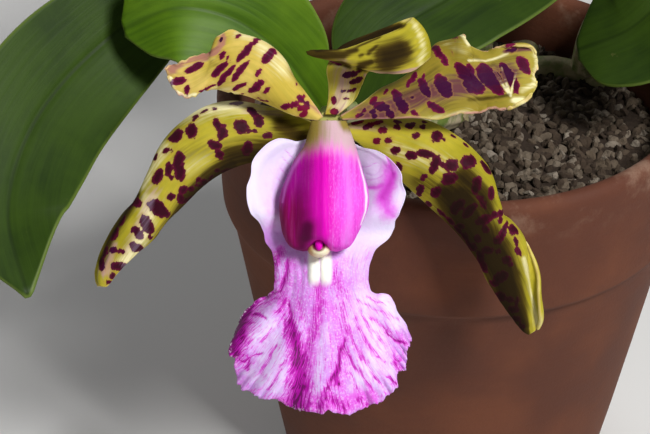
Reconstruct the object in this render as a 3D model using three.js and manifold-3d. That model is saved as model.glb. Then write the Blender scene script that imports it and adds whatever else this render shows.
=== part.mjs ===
// A cattleya orchid growing in a clay pot: spotted sepals and petals, a fan-lipped bloom, leathery
// leaves in pairs on short pseudobulbs, a creeping rhizome with roots, potting bark and the pot.
// Millimetres, +Z up. The origin is on the pot's axis, on the surface that the pot stands on.
// The bloom faces -Y and a little upwards.
import * as THREE from 'three';
import { mergeVertices } from 'three/addons/utils/BufferGeometryUtils.js';
import Module from 'manifold-3d';

const wasm = await Module();
wasm.setup();

// ---------------------------------------------------------------- driving dimensions
const GAP = 0.3;                     // clearance that touching pieces keep

const POT_HEIGHT = 104;
const POT_RIM_RADIUS = 55;           // outside of the rim band
const POT_RIM_BAND = 28.5;           // height of the rim band
const POT_RIM_STEP = 2.2;            // how far the band stands out from the body
const POT_BASE_RADIUS = 40;
const POT_WALL = 5;
const POT_FLOOR = 6;
const DRAIN_RADIUS = 5;
const DRAIN_RING = 17;               // the three drain holes sit on this radius
const DRAIN_COUNT = 3;

const BARK_TOP = 91;                 // level of the potting bark
const CHIP_COUNT = 50;
const CHIP_RADIUS = [3, 4.6];

const BLOOM_BASE = [-30, -53, 124];  // where sepals, petals, lip and column meet
const BLOOM_TILT = 33;               // degrees that the bloom's face looks up
const PETAL_THICKNESS = 0.8;
const SEPAL_THICKNESS = 0.9;
const LIP_THICKNESS = 0.8;
const LEAF_THICKNESS = 1.7;

const COLOURS = {
  clay: '#a9694a', bark: '#8d7a66', leaf: '#3f6b22', bulb: '#6c8a3c', rhizome: '#7d8a52',
  sepal: '#c9c04a', petal: '#d6c95c', lip: '#dd9be4', column: '#d524b8', anther: '#f2e3b0',
  stalk: '#7f8f3c', sheath: '#b49c6c',
};

// ---------------------------------------------------------------- small helpers
const vec = (p) => new THREE.Vector3(...p);
const lerp = THREE.MathUtils.lerp;
const radians = THREE.MathUtils.degToRad;

// A repeatable random draw between 0 and 1.
function seeded(seed) {
  let state = seed;
  return () => {
    state = (state * 1664525 + 1013904223) % 4294967296;
    return state / 4294967296;
  };
}

function solidOf(geometry) {
  const bare = geometry.index ? geometry.toNonIndexed() : geometry.clone();
  for (const name of Object.keys(bare.attributes)) {
    if (name !== 'position') bare.deleteAttribute(name);
  }
  const merged = mergeVertices(bare, 1e-4);
  return new wasm.Manifold(new wasm.Mesh({
    numProp: 3,
    vertProperties: merged.attributes.position.array,
    triVerts: new Uint32Array(merged.index.array),
  }));
}

function geometryOf(solid) {
  const mesh = solid.getMesh();
  const geometry = new THREE.BufferGeometry();
  geometry.setAttribute('position', new THREE.BufferAttribute(new Float32Array(mesh.vertProperties), 3));
  geometry.setIndex(new THREE.BufferAttribute(new Uint32Array(mesh.triVerts), 1));
  geometry.computeVertexNormals();
  return geometry;
}

// The largest of a solid's separate bodies, without the scraps that a cut leaves.
function largestBody(solid) {
  return solid.decompose().reduce((best, body) => (body.volume() > best.volume() ? body : best));
}

function named(name, geometry, colour, roughness = 0.6) {
  const material = new THREE.MeshStandardMaterial({ color: colour, roughness, metalness: 0 });
  const mesh = new THREE.Mesh(geometry, material);
  mesh.name = name;
  return mesh;
}

// A smooth line through hand-set values, at t from 0 to 1.
function valueLine(values) {
  const curve = new THREE.CatmullRomCurve3(values.map((v, i) => new THREE.Vector3(i, v, 0)), false, 'centripetal');
  return (t) => curve.getPoint(t).y;
}

function pointLine(points) {
  const curve = new THREE.CatmullRomCurve3(points.map(vec), false, 'centripetal');
  return (t) => curve.getPoint(t);
}

// A closed sheet from a surface pointAt(t, s), with t along it from 0 to 1 and s across it from -1
// to 1. Both faces are split into triangles alike, and halfThickness(t, s) may vary.
function sheet(pointAt, rows, columns, halfThickness) {
  const step = 1e-3;
  const faces = [[], []];
  for (let i = 0; i <= rows; i++) {
    for (let j = 0; j <= columns; j++) {
      const t = i / rows;
      const s = -1 + (2 * j) / columns;
      const along = pointAt(Math.min(1, t + step), s).sub(pointAt(Math.max(0, t - step), s));
      const across = pointAt(t, Math.min(1, s + step)).sub(pointAt(t, Math.max(-1, s - step)));
      const normal = across.cross(along).normalize();
      const half = halfThickness(t, s);
      faces[0].push(pointAt(t, s).addScaledVector(normal, half));
      faces[1].push(pointAt(t, s).addScaledVector(normal, -half));
    }
  }
  const count = faces[0].length;
  const index = [];
  const at = (i, j) => i * (columns + 1) + j;
  for (let i = 0; i < rows; i++) {
    for (let j = 0; j < columns; j++) {
      const [a, b, c, d] = [at(i, j), at(i, j + 1), at(i + 1, j + 1), at(i + 1, j)];
      index.push(a, b, c, a, c, d);
      index.push(count + a, count + c, count + b, count + a, count + d, count + c);
    }
  }
  const rim = [];
  for (let j = 0; j < columns; j++) rim.push(at(0, j));
  for (let i = 0; i < rows; i++) rim.push(at(i, columns));
  for (let j = columns; j > 0; j--) rim.push(at(rows, j));
  for (let i = rows; i > 0; i--) rim.push(at(i, 0));
  rim.forEach((a, k) => {
    const b = rim[(k + 1) % rim.length];
    index.push(a, count + a, count + b, a, count + b, b);
  });
  const geometry = new THREE.BufferGeometry();
  const flat = faces.flat().flatMap((p) => p.toArray());
  geometry.setAttribute('position', new THREE.BufferAttribute(new Float32Array(flat), 3));
  geometry.setIndex(index);
  geometry.computeVertexNormals();
  return geometry;
}

// A closed round stem along a line, with its radius from radiusAt(t).
function stem(line, radiusAt, steps, sides) {
  const points = [];
  let side = null;
  for (let i = 0; i <= steps; i++) {
    const t = i / steps;
    const tangent = line(Math.min(1, t + 1e-3)).sub(line(Math.max(0, t - 1e-3))).normalize();
    if (!side) side = Math.abs(tangent.x) < 0.8 ? new THREE.Vector3(1, 0, 0) : new THREE.Vector3(0, 1, 0);
    side = side.clone().addScaledVector(tangent, -side.dot(tangent)).normalize();
    const up = tangent.clone().cross(side);
    for (let k = 0; k < sides; k++) {
      const angle = (2 * Math.PI * k) / sides;
      const radius = radiusAt(t);
      points.push(line(t).addScaledVector(side, radius * Math.cos(angle)).addScaledVector(up, radius * Math.sin(angle)));
    }
  }
  const first = points.length;
  points.push(line(0), line(1));
  const index = [];
  for (let i = 0; i < steps; i++) {
    for (let k = 0; k < sides; k++) {
      const [a, b] = [i * sides + k, i * sides + ((k + 1) % sides)];
      index.push(a, b, b + sides, a, b + sides, a + sides);
    }
  }
  for (let k = 0; k < sides; k++) {
    const next = (k + 1) % sides;
    index.push(first, next, k);
    index.push(first + 1, steps * sides + k, steps * sides + next);
  }
  const geometry = new THREE.BufferGeometry();
  geometry.setAttribute('position', new THREE.BufferAttribute(new Float32Array(points.flatMap((p) => p.toArray())), 3));
  geometry.setIndex(index);
  geometry.computeVertexNormals();
  return geometry;
}

// ---------------------------------------------------------------- clay pot
// Thrown clay: a tapered body under a straight rim band, with a drain hole ring in its floor.
const bodyRadiusAt = (z) => lerp(POT_BASE_RADIUS, POT_RIM_RADIUS - POT_RIM_STEP, z / (POT_HEIGHT - POT_RIM_BAND));
const innerRadiusAt = (z) => lerp(POT_BASE_RADIUS - POT_WALL, POT_RIM_RADIUS - POT_WALL, z / POT_HEIGHT);

function potSolid() {
  const ledge = POT_HEIGHT - POT_RIM_BAND;
  const profile = [
    [0, 0], [POT_BASE_RADIUS - 1.5, 0], [POT_BASE_RADIUS, 1.5],
    [bodyRadiusAt(ledge), ledge], [POT_RIM_RADIUS - 1.8, ledge], [POT_RIM_RADIUS - 0.8, ledge + 1.2],
    [POT_RIM_RADIUS, POT_HEIGHT - 3], [POT_RIM_RADIUS - 0.9, POT_HEIGHT - 0.8],
    [POT_RIM_RADIUS - 2.5, POT_HEIGHT], [POT_RIM_RADIUS - POT_WALL + 1.2, POT_HEIGHT - 0.5],
    [innerRadiusAt(POT_HEIGHT), POT_HEIGHT - 2], [innerRadiusAt(POT_FLOOR), POT_FLOOR], [0, POT_FLOOR],
  ];
  const turned = new THREE.LatheGeometry(profile.map((p) => new THREE.Vector2(...p)), 48);
  turned.rotateX(Math.PI / 2);
  let pot = solidOf(turned);
  for (let k = 0; k < DRAIN_COUNT; k++) {
    const angle = (2 * Math.PI * k) / DRAIN_COUNT + Math.PI / 6;
    const drill = new THREE.CylinderGeometry(DRAIN_RADIUS, DRAIN_RADIUS, 4 * POT_FLOOR, 16);
    drill.rotateX(Math.PI / 2);
    drill.translate(DRAIN_RING * Math.cos(angle), DRAIN_RING * Math.sin(angle), 0);
    pot = pot.subtract(solidOf(drill));
  }
  return pot;
}

// ---------------------------------------------------------------- rhizome and roots
// The creeping stem runs over the bark, half sunk, with a fork to the flowering lead.
const RHIZOME_RADIUS = 3;
const RHIZOME_LINES = [
  [[39, 22, BARK_TOP + 0.5], [28, 28, BARK_TOP + 1], [8, 26, BARK_TOP + 1], [-14, 21, BARK_TOP + 1],
    [-38, 13, BARK_TOP + 0.5]],
  [[8, 26, BARK_TOP + 1], [6, 15, BARK_TOP + 1], [1, 3, BARK_TOP + 0.5]],
];
const ROOT_LINES = [
  [[-30, 16, 91], [-36, 22, 93.5], [-38, 26, 92.5], [-36, 29, 86]],
  [[18, 27, 91], [22, 34, 94], [19, 39, 92.5], [14, 41, 86]],
  [[-5, 22, 91], [-12, 28, 94.5], [-16, 35, 93], [-18, 39, 86]],
  [[4, 8, 91], [-6, 5, 94], [-16, 4, 93], [-24, 2, 86]],
];

function rhizomeSolid(extra = 0) {
  const stemRadius = (t) => RHIZOME_RADIUS * (0.75 + 0.25 * Math.sin(Math.PI * t)) + extra;
  const rootRadius = (t) => lerp(1.5, 1.2, t) + extra;
  let solid = null;
  for (const points of RHIZOME_LINES) {
    const piece = solidOf(stem(pointLine(points), stemRadius, 12, 9));
    solid = solid ? solid.add(piece) : piece;
  }
  for (const points of ROOT_LINES) solid = solid.add(solidOf(stem(pointLine(points), rootRadius, 8, 6)));
  return solid;
}

// ---------------------------------------------------------------- pseudobulbs and leaves
// Each pseudobulb is a short club that carries two leaves at its top.
const BULBS = [
  { name: '1', line: [[0, 2, 93.6], [-6, -5, 98], [-17, -13, 102], [-27, -20, 106]], radius: 5.2 },
  { name: '2', line: [[-35, 14, 93.6], [-37, 13, 103], [-40, 9, 116], [-41, 6, 127]], radius: 5.6 },
  { name: '3', line: [[33, 24, 93.6], [37, 24, 104], [46, 22, 116], [54, 19, 127]], radius: 5.6 },
  { name: '4', line: [[8, 27, 94], [5, 31, 105], [-2, 37, 119], [-8, 41, 131]], radius: 6 },
];

function bulbRadius(radius, extra = 0) {
  const line = valueLine([0.55, 0.8, 1, 1, 0.9, 0.62]);
  return (t) => radius * line(t) + extra;
}

// Half the width of a leaf along it, as a share of its largest: blunt ones and one with a sharp tip.
const BLUNT = valueLine([0.18, 0.4, 0.72, 0.9, 0.98, 1, 0.99, 0.93, 0.82, 0.62, 0.12]);
const SHARP = valueLine([0.18, 0.42, 0.8, 0.97, 1, 0.93, 0.68, 0.04]);

// Leaves: the midrib from inside the top of the bulb, the largest half width, how far the margins
// lift above the midrib, and the way that the upper face looks.
const LEAVES = [
  { name: 'leaf_1_left', bulb: 0, half: 13.5, lift: 2.5, width: BLUNT, face: [-0.1, -0.75, 0.6],
    midrib: [[-29.6, -21, 107], [-39.7, -20.6, 122.3], [-50.6, -21.1, 130.7], [-61.7, -21.9, 133], [-73, -20.7, 127.6]] },
  { name: 'leaf_1_right', bulb: 0, half: 16, lift: 3, width: BLUNT, face: [-0.2, -0.6, 0.75],
    midrib: [[-25, -18, 107], [-16.7, -8.4, 117.9], [-1.8, 3.2, 122.7], [15.2, 18.1, 125.1], [34.1, 38.2, 124.5]] },
  { name: 'leaf_2_left', bulb: 1, half: 15, lift: 3, width: SHARP, face: [0.2, -0.8, 0.5],
    midrib: [[-43, 4.5, 126.5], [-64.4, -3.6, 126.3], [-80.9, -19.1, 120.8], [-91.9, -38.4, 113.2],
      [-94.8, -56.1, 104.2], [-89, -73.8, 95.3]] },
  { name: 'leaf_2_right', bulb: 1, half: 17, lift: 3, width: BLUNT, face: [-0.3, 0.3, 0.9],
    midrib: [[-40.6, 8.4, 126.8], [-44, 20, 144], [-52, 36, 152], [-64, 52, 148], [-76, 64, 136]] },
  { name: 'leaf_3_left', bulb: 2, half: 17, lift: 3, width: BLUNT, face: [-0.3, -0.6, 0.8],
    midrib: [[53, 16.4, 127], [52.3, 5.9, 133.6], [46.5, -1.2, 126.4], [39.2, -1.9, 118], [28.1, 2.5, 110.1]] },
  { name: 'leaf_3_right', bulb: 2, half: 17, lift: 3, width: BLUNT, face: [0.2, 0, 1],
    midrib: [[56.4, 20.6, 127], [67, 32, 142], [78, 44, 147], [90, 52, 142], [100, 58, 130]] },
  { name: 'leaf_4_left', bulb: 3, half: 17, lift: 3, width: BLUNT, face: [0, -0.5, 0.8],
    midrib: [[-11.4, 41.4, 130.4], [-22.5, 50.5, 148], [-26, 62, 163], [-34, 76, 168], [-42, 90, 162]] },
  { name: 'leaf_4_right', bulb: 3, half: 16, lift: 3.5, width: BLUNT, face: [-0.4, -0.9, 0.3],
    midrib: [[-4.8, 41.8, 130.6], [6, 49, 149], [12, 58, 168], [24, 64, 180], [38, 68, 186]] },
];

// A leaf is folded a little along its midrib and blunt at its tip.
function leafGeometry({ midrib, half, lift, width, face }) {
  const line = pointLine(midrib);
  const up = vec(face).normalize();
  const pointAt = (t, s) => {
    const tangent = line(Math.min(1, t + 1e-3)).sub(line(Math.max(0, t - 1e-3))).normalize();
    const across = tangent.clone().cross(up).normalize();
    const normal = across.clone().cross(tangent);
    const reach = half * width(t);
    const raised = lift * Math.sqrt(s * s + 0.02) * (reach / half);
    return line(t).addScaledVector(across, reach * s).addScaledVector(normal, raised);
  };
  return sheet(pointAt, 13, 6, (t, s) => (LEAF_THICKNESS / 2) * (1 - 0.45 * s * s));
}

// ---------------------------------------------------------------- bloom
// Bloom pieces are drawn on the bloom's own face: +X right, +Y up, +Z out of the face, with the
// meeting point of the pieces at 0, 0, 0. A tepal has a left and a right margin, seen with its base
// below. Between them it swells by crown, and the swell is highest at crest, from -1 to 1 across.
function tepalPoint({ left, right, crown, crest, ruffle }) {
  const leftLine = pointLine(left);
  const rightLine = pointLine(right);
  const crownAt = valueLine(crown);
  const crestAt = valueLine(crest);
  const middle = (t) => leftLine(t).add(rightLine(t)).multiplyScalar(0.5);
  return (t, s) => {
    const a = leftLine(t);
    const b = rightLine(t);
    const along = middle(Math.min(1, t + 1e-2)).sub(middle(Math.max(0, t - 1e-2)));
    const normal = b.clone().sub(a).cross(along).normalize();
    const top = crestAt(t);
    const share = s < top ? (top - s) / (1 + top) : (s - top) / (1 - top);
    const turn = ruffle.count * t + (s > 0 ? ruffle.shift : 0);
    const wave = ruffle.height * Math.abs(s) ** 3 * Math.sin(2 * Math.PI * turn) * Math.sin(Math.PI * t);
    return a.lerp(b, (s + 1) / 2).addScaledVector(normal, crownAt(t) * (1 - share * share) + wave);
  };
}

const TEPALS = {
  dorsal_sepal: {
    left: [[0, 1, 1.3], [0.6, 3.9, 1], [0.7, 7.1, 1.5], [0.4, 10.4, 2.5], [2.6, 14.1, 3], [10.5, 17.6, 3.5],
      [16.9, 19.7, 6], [13.8, 17, 9], [8.3, 14.7, 10.5], [3.5, 13, 10.5], [-1, 13, 10],
      [-3.7, 12.8, 9.5]],
    right: [[2.6, 1, 1.3], [6, 4.1, 1], [7.4, 7.1, 1.5], [8.9, 9.8, 2.5], [14.9, 9.9, 3], [19.2, 10.7, 3.5],
      [20.4, 11.9, 6], [16.8, 9, 9], [11.1, 8.6, 10.5], [5.2, 10.2, 10.5], [0.2, 11.4, 10],
      [-3.4, 12.4, 9.5]],
    crown: [0.2, 0.6, 0.9, 1, 0.6, -0.6, -1.2, -1.8, -2, -1.4, -0.7, -0.1],
    crest: [0, 0],
    ruffle: { height: 0, count: 0, shift: 0 },
    rows: 24,
    columns: 8,
    thickness: SEPAL_THICKNESS,
  },
  petal_left: {
    left: [[-1.6, -0.2, 1.25], [-5.8, 0.6, 1.5], [-9.7, 2, 2.5], [-13.3, 3.3, 3.3], [-16.8, 4.5, 3.8],
      [-20.4, 5.5, 4], [-23.2, 5.7, 3.6], [-25.2, 5.3, 3], [-26.6, 4.4, 2], [-28.5, 4.2, 1],
      [-30.1, 6.3, 1], [-31.2, 8.5, 1.2]],
    right: [[-0.4, 0.6, 1.25], [-3.2, 4.7, 1.5], [-5.4, 8.3, 1], [-7.6, 12.8, 0], [-11, 16.1, -1],
      [-15.5, 18, -1.5], [-19, 18.1, -1], [-21.2, 16.4, 0], [-22.5, 13.6, 1.2], [-25.7, 12.6, 1.6],
      [-28.7, 11.6, 1.3], [-31.9, 10.1, 1]],
    crown: [0.1, 0.6, 1.4, 2.2, 2.6, 2.6, 2.2, 1.6, 1.2, 1, 0.6, 0.1],
    crest: [0, 0],
    ruffle: { height: 0.7, count: 3, shift: 0.4 },
    rows: 20,
    columns: 8,
    thickness: PETAL_THICKNESS,
  },
  petal_right: {
    left: [[3, 0.8, 1.25], [7.4, 3.4, 1], [11, 6.1, 0], [14.6, 8.1, -1], [17.9, 10.7, -1.5],
      [20.7, 14.4, -2], [22.5, 16.5, -2], [25.1, 17.3, -1.2], [27.5, 17.2, 0.8], [28.5, 14.5, 1],
      [30.9, 13, 0.5], [34.3, 13.4, 1], [37.4, 14, 1.5], [40.2, 14.1, 2], [41.7, 12.2, 2], [42.2, 10, 2]],
    right: [[3.4, -0.1, 1.25], [9.2, 0.3, 1.2], [12.9, 0.4, 1.5], [16.1, 0.3, 2], [19.1, 0.2, 2.5],
      [21.6, 0.2, 3], [24.2, 0.6, 3.2], [26.5, 0.9, 3.2], [28.9, 1.2, 3], [30.7, 1.5, 3], [32.5, 2.3, 3],
      [34.5, 1.9, 3], [36.3, 2.7, 3], [38.5, 4, 3], [40.5, 5.8, 2.5], [41.7, 7.6, 2.2]],
    crown: [0.1, 0.6, 1.2, 1.8, 2.2, 2.4, 2.4, 2.2, 1.8, 1.6, 1.6, 1.6, 1.6, 1.4, 0.8, 0.3],
    crest: [0, 0],
    ruffle: { height: 0.5, count: 4, shift: 0.3 },
    rows: 24,
    columns: 8,
    thickness: PETAL_THICKNESS,
  },
  lateral_sepal_left: {
    left: [[-1.6, -1.9, -2], [-6.7, -5.9, -4], [-11.1, -7.9, -4], [-15.5, -8.9, -3.5], [-20, -10.7, -3],
      [-23.6, -13, -3], [-26.4, -15.4, -3.5], [-28.9, -17.8, -4], [-31.8, -20.4, -4.5],
      [-34.5, -23.9, -5.5], [-38.7, -27.3, -6.5], [-42.2, -30.8, -7], [-44.5, -33.7, -7.5]],
    right: [[-1.5, -0.7, -2], [-7.1, 1.8, -4], [-12.7, 3.6, -4], [-18.8, 4.7, -4], [-24.3, 3.6, -4],
      [-29.8, 0.2, -4.5], [-34, -4.2, -5], [-36.1, -8.8, -5.5], [-38.2, -13.7, -7.5],
      [-42.5, -18.8, -9.5], [-45.9, -25.6, -10.5], [-47.2, -31.3, -9.5], [-46.6, -33.5, -8.2]],
    crown: [0, 0.6, 1.6, 2.4, 2.8, 3, 3, 2.8, 2.8, 2.8, 2.4, 1.6, 0.3],
    crest: [0, 0, 0, 0, 0, 0.1, 0.3, 0.5, 0.5, 0.2, 0.1, 0, 0],
    ruffle: { height: 0.4, count: 2, shift: 0.5 },
    rows: 20,
    columns: 8,
    thickness: SEPAL_THICKNESS,
  },
  lateral_sepal_right: {
    left: [[3.1, -0.8, -2], [9.5, 0.6, -4], [14.8, 0.8, -4], [20.8, 0.6, -4], [26.7, -2.2, -4],
      [31.3, -6.1, -4], [34, -9.7, -4.5], [34.5, -13.7, -4.5], [35.4, -17.4, -4.5], [38, -19.8, -4.5],
      [40.3, -23.5, -5], [40.7, -27.7, -5], [41.5, -33.2, -5], [42.8, -38.7, -5.5], [42.9, -42, -6]],
    right: [[3.2, -2, -2], [7.5, -5.1, -4], [12.1, -9.5, -4], [16.1, -13.3, -3.5], [20.2, -17.2, -3],
      [23.8, -20.6, -2.5], [26.7, -23.6, -2], [28.9, -26.4, -2], [30.8, -29.1, -2.5], [32.2, -31.9, -3],
      [33.7, -34.3, -3.5], [35.4, -36.8, -4], [37.3, -39.3, -5], [39.2, -41.7, -5.5], [41.3, -43.4, -6]],
    crown: [0, 0.6, 1.6, 2.4, 3, 3.2, 3.4, 3.4, 3.2, 3, 2.8, 2.4, 1.8, 1.1, 0.2],
    crest: [0, 0, -0.1, -0.2, -0.3, -0.4, -0.5, -0.4, 0],
    ruffle: { height: 0.4, count: 3, shift: 0.5 },
    rows: 22,
    columns: 8,
    thickness: SEPAL_THICKNESS,
  },
};

function tepalGeometry(tepal) {
  return sheet(tepalPoint(tepal), tepal.rows, tepal.columns, () => tepal.thickness / 2);
}

// ---------------------------------------------------------------- lip
// Rows run from the claw past the waist to the frilled edge of the mid lobe, and points across
// from the left margin to the right. The side lobes stand up beside the column in the first rows.
const LIP_NET = [
  [[-1, -2.8, -2], [-0.6, -2.8, -2], [-0.1, -2.8, -2], [0.3, -2.8, -2], [0.7, -2.8, -2],
    [1.2, -2.8, -2], [1.6, -2.8, -2], [2, -2.8, -2], [2.4, -2.8, -2]],
  [[-5, -4.2, -1], [-3.8, -4.9, -3], [-2.6, -5.4, -4.5], [-1, -5.8, -5], [0.6, -6, -5],
    [2.2, -5.8, -5], [3.8, -5.6, -4.5], [5.4, -5.3, -3], [6.6, -5.2, -1]],
  [[-9.1, -3.9, 2], [-7.8, -5.8, -1], [-5.2, -7.5, -3.5], [-2.4, -8.5, -4.5], [0.6, -8.9, -5],
    [3.6, -8.7, -4.5], [6.3, -7.9, -3.5], [8.8, -7, -1], [10.5, -6.5, 2]],
  [[-13.4, -7.3, 4], [-11.6, -9, 1], [-7.4, -10.8, -2], [-3.4, -11.7, -4], [0.4, -11.9, -4.5],
    [4.2, -11.7, -4], [8.2, -11, -2], [12.4, -10.2, 1], [14.2, -9.7, 4]],
  [[-15, -12.9, 5], [-12.7, -13.6, 2.5], [-8.4, -14.4, -1], [-4, -15, -3], [0.2, -15.2, -3.5],
    [4.4, -15, -3], [8.8, -14.4, -1], [13.5, -14, 2.5], [15.6, -14.3, 5]],
  [[-14.4, -18.2, 5], [-11.9, -18.2, 2.5], [-8, -18.4, 0], [-4, -18.4, -1.5], [0, -18.4, -2],
    [4, -18.4, -1.5], [8.2, -18.4, 0], [12.3, -18.2, 2.5], [14.4, -18.4, 4.5]],
  [[-12.3, -22.2, 4], [-10.1, -22.2, 2.5], [-7, -22.2, 1], [-3.6, -22.2, 0], [-0.2, -22.2, 0],
    [3.2, -22.2, 0], [6.6, -22.2, 1], [10.5, -22, 2.5], [13.7, -21.8, 3.5]],
  [[-10.7, -26.7, 3], [-8.3, -26.7, 2.5], [-5.8, -27, 2], [-3.2, -27, 2], [-0.6, -26.9, 2.5],
    [2, -27, 2], [4.6, -26.8, 2], [7.1, -26.5, 2.5], [10.1, -26.3, 3]],
  [[-9.9, -31.7, 2], [-7.5, -32.1, 2.5], [-5.4, -32.3, 3], [-3, -32.5, 3.5], [-0.8, -32.5, 3.5],
    [1.6, -32.5, 3.5], [4, -32.3, 3], [6.4, -32.1, 2.5], [8.5, -31.7, 2]],
  [[-10.7, -34.3, 1.5], [-8.9, -35.9, 2.5], [-6.7, -38.2, 3.5], [-3.8, -38.9, 4.5], [-0.8, -38.9, 5],
    [2.4, -38.9, 4.5], [5.5, -38, 3.5], [8.1, -36.1, 2.5], [9.8, -34.5, 1.5]],
  [[-12.6, -35.5, 1], [-12.1, -39.1, 2.5], [-9.7, -44.1, 4], [-5.1, -45.2, 5.5], [-1, -45.5, 6],
    [3.7, -45.6, 5.5], [8.1, -43.7, 4], [10.7, -40.2, 2.5], [12.2, -34.7, 1]],
  [[-14.8, -36.8, 0.5], [-15.5, -42.5, 2], [-13.3, -49.1, 3.5], [-7.5, -50.9, 5.5], [-1.4, -51.8, 6],
    [5.5, -51.9, 5.5], [11.3, -48.7, 3.5], [13.5, -44.6, 2], [14.6, -37.8, 0.5]],
  [[-17, -39.6, 0], [-19.1, -46.1, 1], [-16.9, -53, 2], [-10.5, -55.6, 4], [-1.6, -57.6, 5],
    [7.3, -57.6, 4], [14.3, -53, 2], [16.3, -48.3, 1], [17.4, -43.6, 0]],
];
const LIP_ROWS = 26;
const LIP_COLUMNS = 24;
const LIP_WAIST = 0.64;              // share of the rows that lies above the mid lobe
const LIP_RUFFLE = 1.1;
const LIP_RUFFLE_COUNT = 5;
// Frill of the mid lobe's edge, in millimetres out of the smooth outline, from left to right.
const LIP_FRILL = valueLine([0, 0.2, 0, 0.3, -1, -0.2, 0.1, 0, 0.2, -0.5, 0.4, 0.4, 0.3, -0.4, 0.3, 0.2, 0, 0.2, 0.1,
  -1.5, 0, 0.1, -1, -0.2, 0.4]);

function lipPoint(t, s) {
  const across = LIP_NET.map((row) => pointLine(row)((s + 1) / 2));
  const line = new THREE.CatmullRomCurve3(across, false, 'centripetal');
  const point = line.getPoint(t);
  const outward = line.getPoint(1).sub(line.getPoint(0.93)).normalize();
  const spread = Math.max(0, (t - LIP_WAIST) / (1 - LIP_WAIST));
  const edge = THREE.MathUtils.smoothstep(t, 0.86, 1);
  const wave = LIP_RUFFLE * spread * spread * Math.sin(Math.PI * LIP_RUFFLE_COUNT * s + 0.6);
  return point.addScaledVector(outward, edge * LIP_FRILL((s + 1) / 2)).add(new THREE.Vector3(0, 0, wave));
}

// ---------------------------------------------------------------- column and anther cap
// The winged column arches out over the lip. Each ring: height, left and right edge, depth of the
// edges, swell in front of them and hollow behind them.
const COLUMN_RINGS = [
  [-0.3, -2.8, 4.2, 2.2, 1.9, 1.35], [-2.7, -3.4, 5.2, 2.4, 3.4, 2], [-5.3, -4.2, 6.1, 3, 4.8, 2.4],
  [-8.1, -6.1, 6.9, 4, 6, 2.2], [-11.1, -7.3, 7.7, 5, 7, 2], [-14.1, -8.6, 8.5, 6, 7.5, 1.8],
  [-17, -9, 8.6, 6.5, 7.5, 1.6], [-20, -8.8, 7.6, 7, 7, 1.4], [-22.9, -8.2, 6.3, 7.2, 6, 1.2],
  [-25.1, -6.9, 4.9, 7.2, 4.5, 1], [-26.3, -4.3, 2.2, 7, 2, 0.8],
];
const COLUMN_SIDES = 24;
const CAP_CENTRE = [-1.2, -25.7, 8];
const CAP_RADII = [2.2, 1.6, 2.4];
const TOOTH_CENTRE = [-1, -24.2, 11.6];
const TOOTH_RADII = [0.85, 1.9, 0.8];

function columnGeometry() {
  const points = [];
  for (const [y, left, right, depth, swell, hollow] of COLUMN_RINGS) {
    for (let k = 0; k < COLUMN_SIDES; k++) {
      const angle = (2 * Math.PI * k) / COLUMN_SIDES;
      const reach = Math.cos(angle);
      const out = Math.sin(angle);
      const x = (left + right) / 2 + ((right - left) / 2) * reach;
      points.push(x, y, depth + (out > 0 ? swell : hollow) * out);
    }
  }
  const rings = COLUMN_RINGS.length;
  const index = [];
  for (let i = 0; i < rings - 1; i++) {
    for (let k = 0; k < COLUMN_SIDES; k++) {
      const [a, b] = [i * COLUMN_SIDES + k, i * COLUMN_SIDES + ((k + 1) % COLUMN_SIDES)];
      index.push(a, b, b + COLUMN_SIDES, a, b + COLUMN_SIDES, a + COLUMN_SIDES);
    }
  }
  const last = (rings - 1) * COLUMN_SIDES;
  for (let k = 1; k < COLUMN_SIDES - 1; k++) {
    index.push(0, k + 1, k);
    index.push(last, last + k, last + k + 1);
  }
  const geometry = new THREE.BufferGeometry();
  geometry.setAttribute('position', new THREE.BufferAttribute(new Float32Array(points), 3));
  geometry.setIndex(index);
  return geometry;
}

function ball(centre, radii, extra = 0, detail = 3) {
  const geometry = new THREE.IcosahedronGeometry(1, detail);
  geometry.scale(...radii.map((radius) => radius + extra));
  geometry.translate(...centre);
  return solidOf(geometry);
}

// ---------------------------------------------------------------- assembly
const bloomFrame = new THREE.Matrix4().compose(
  vec(BLOOM_BASE),
  new THREE.Quaternion().setFromEuler(new THREE.Euler(radians(90 - BLOOM_TILT), 0, 0)),
  new THREE.Vector3(1, 1, 1),
);
const placed = (geometry) => geometry.applyMatrix4(bloomFrame);
const plant = new THREE.Group();
plant.name = 'cattleya_in_pot';

plant.add(named('pot', geometryOf(potSolid()), COLOURS.clay, 0.85));

const rhizome = rhizomeSolid();
const bulbs = BULBS.map(({ line, radius }) => solidOf(stem(pointLine(line), bulbRadius(radius), 10, 12)));

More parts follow.
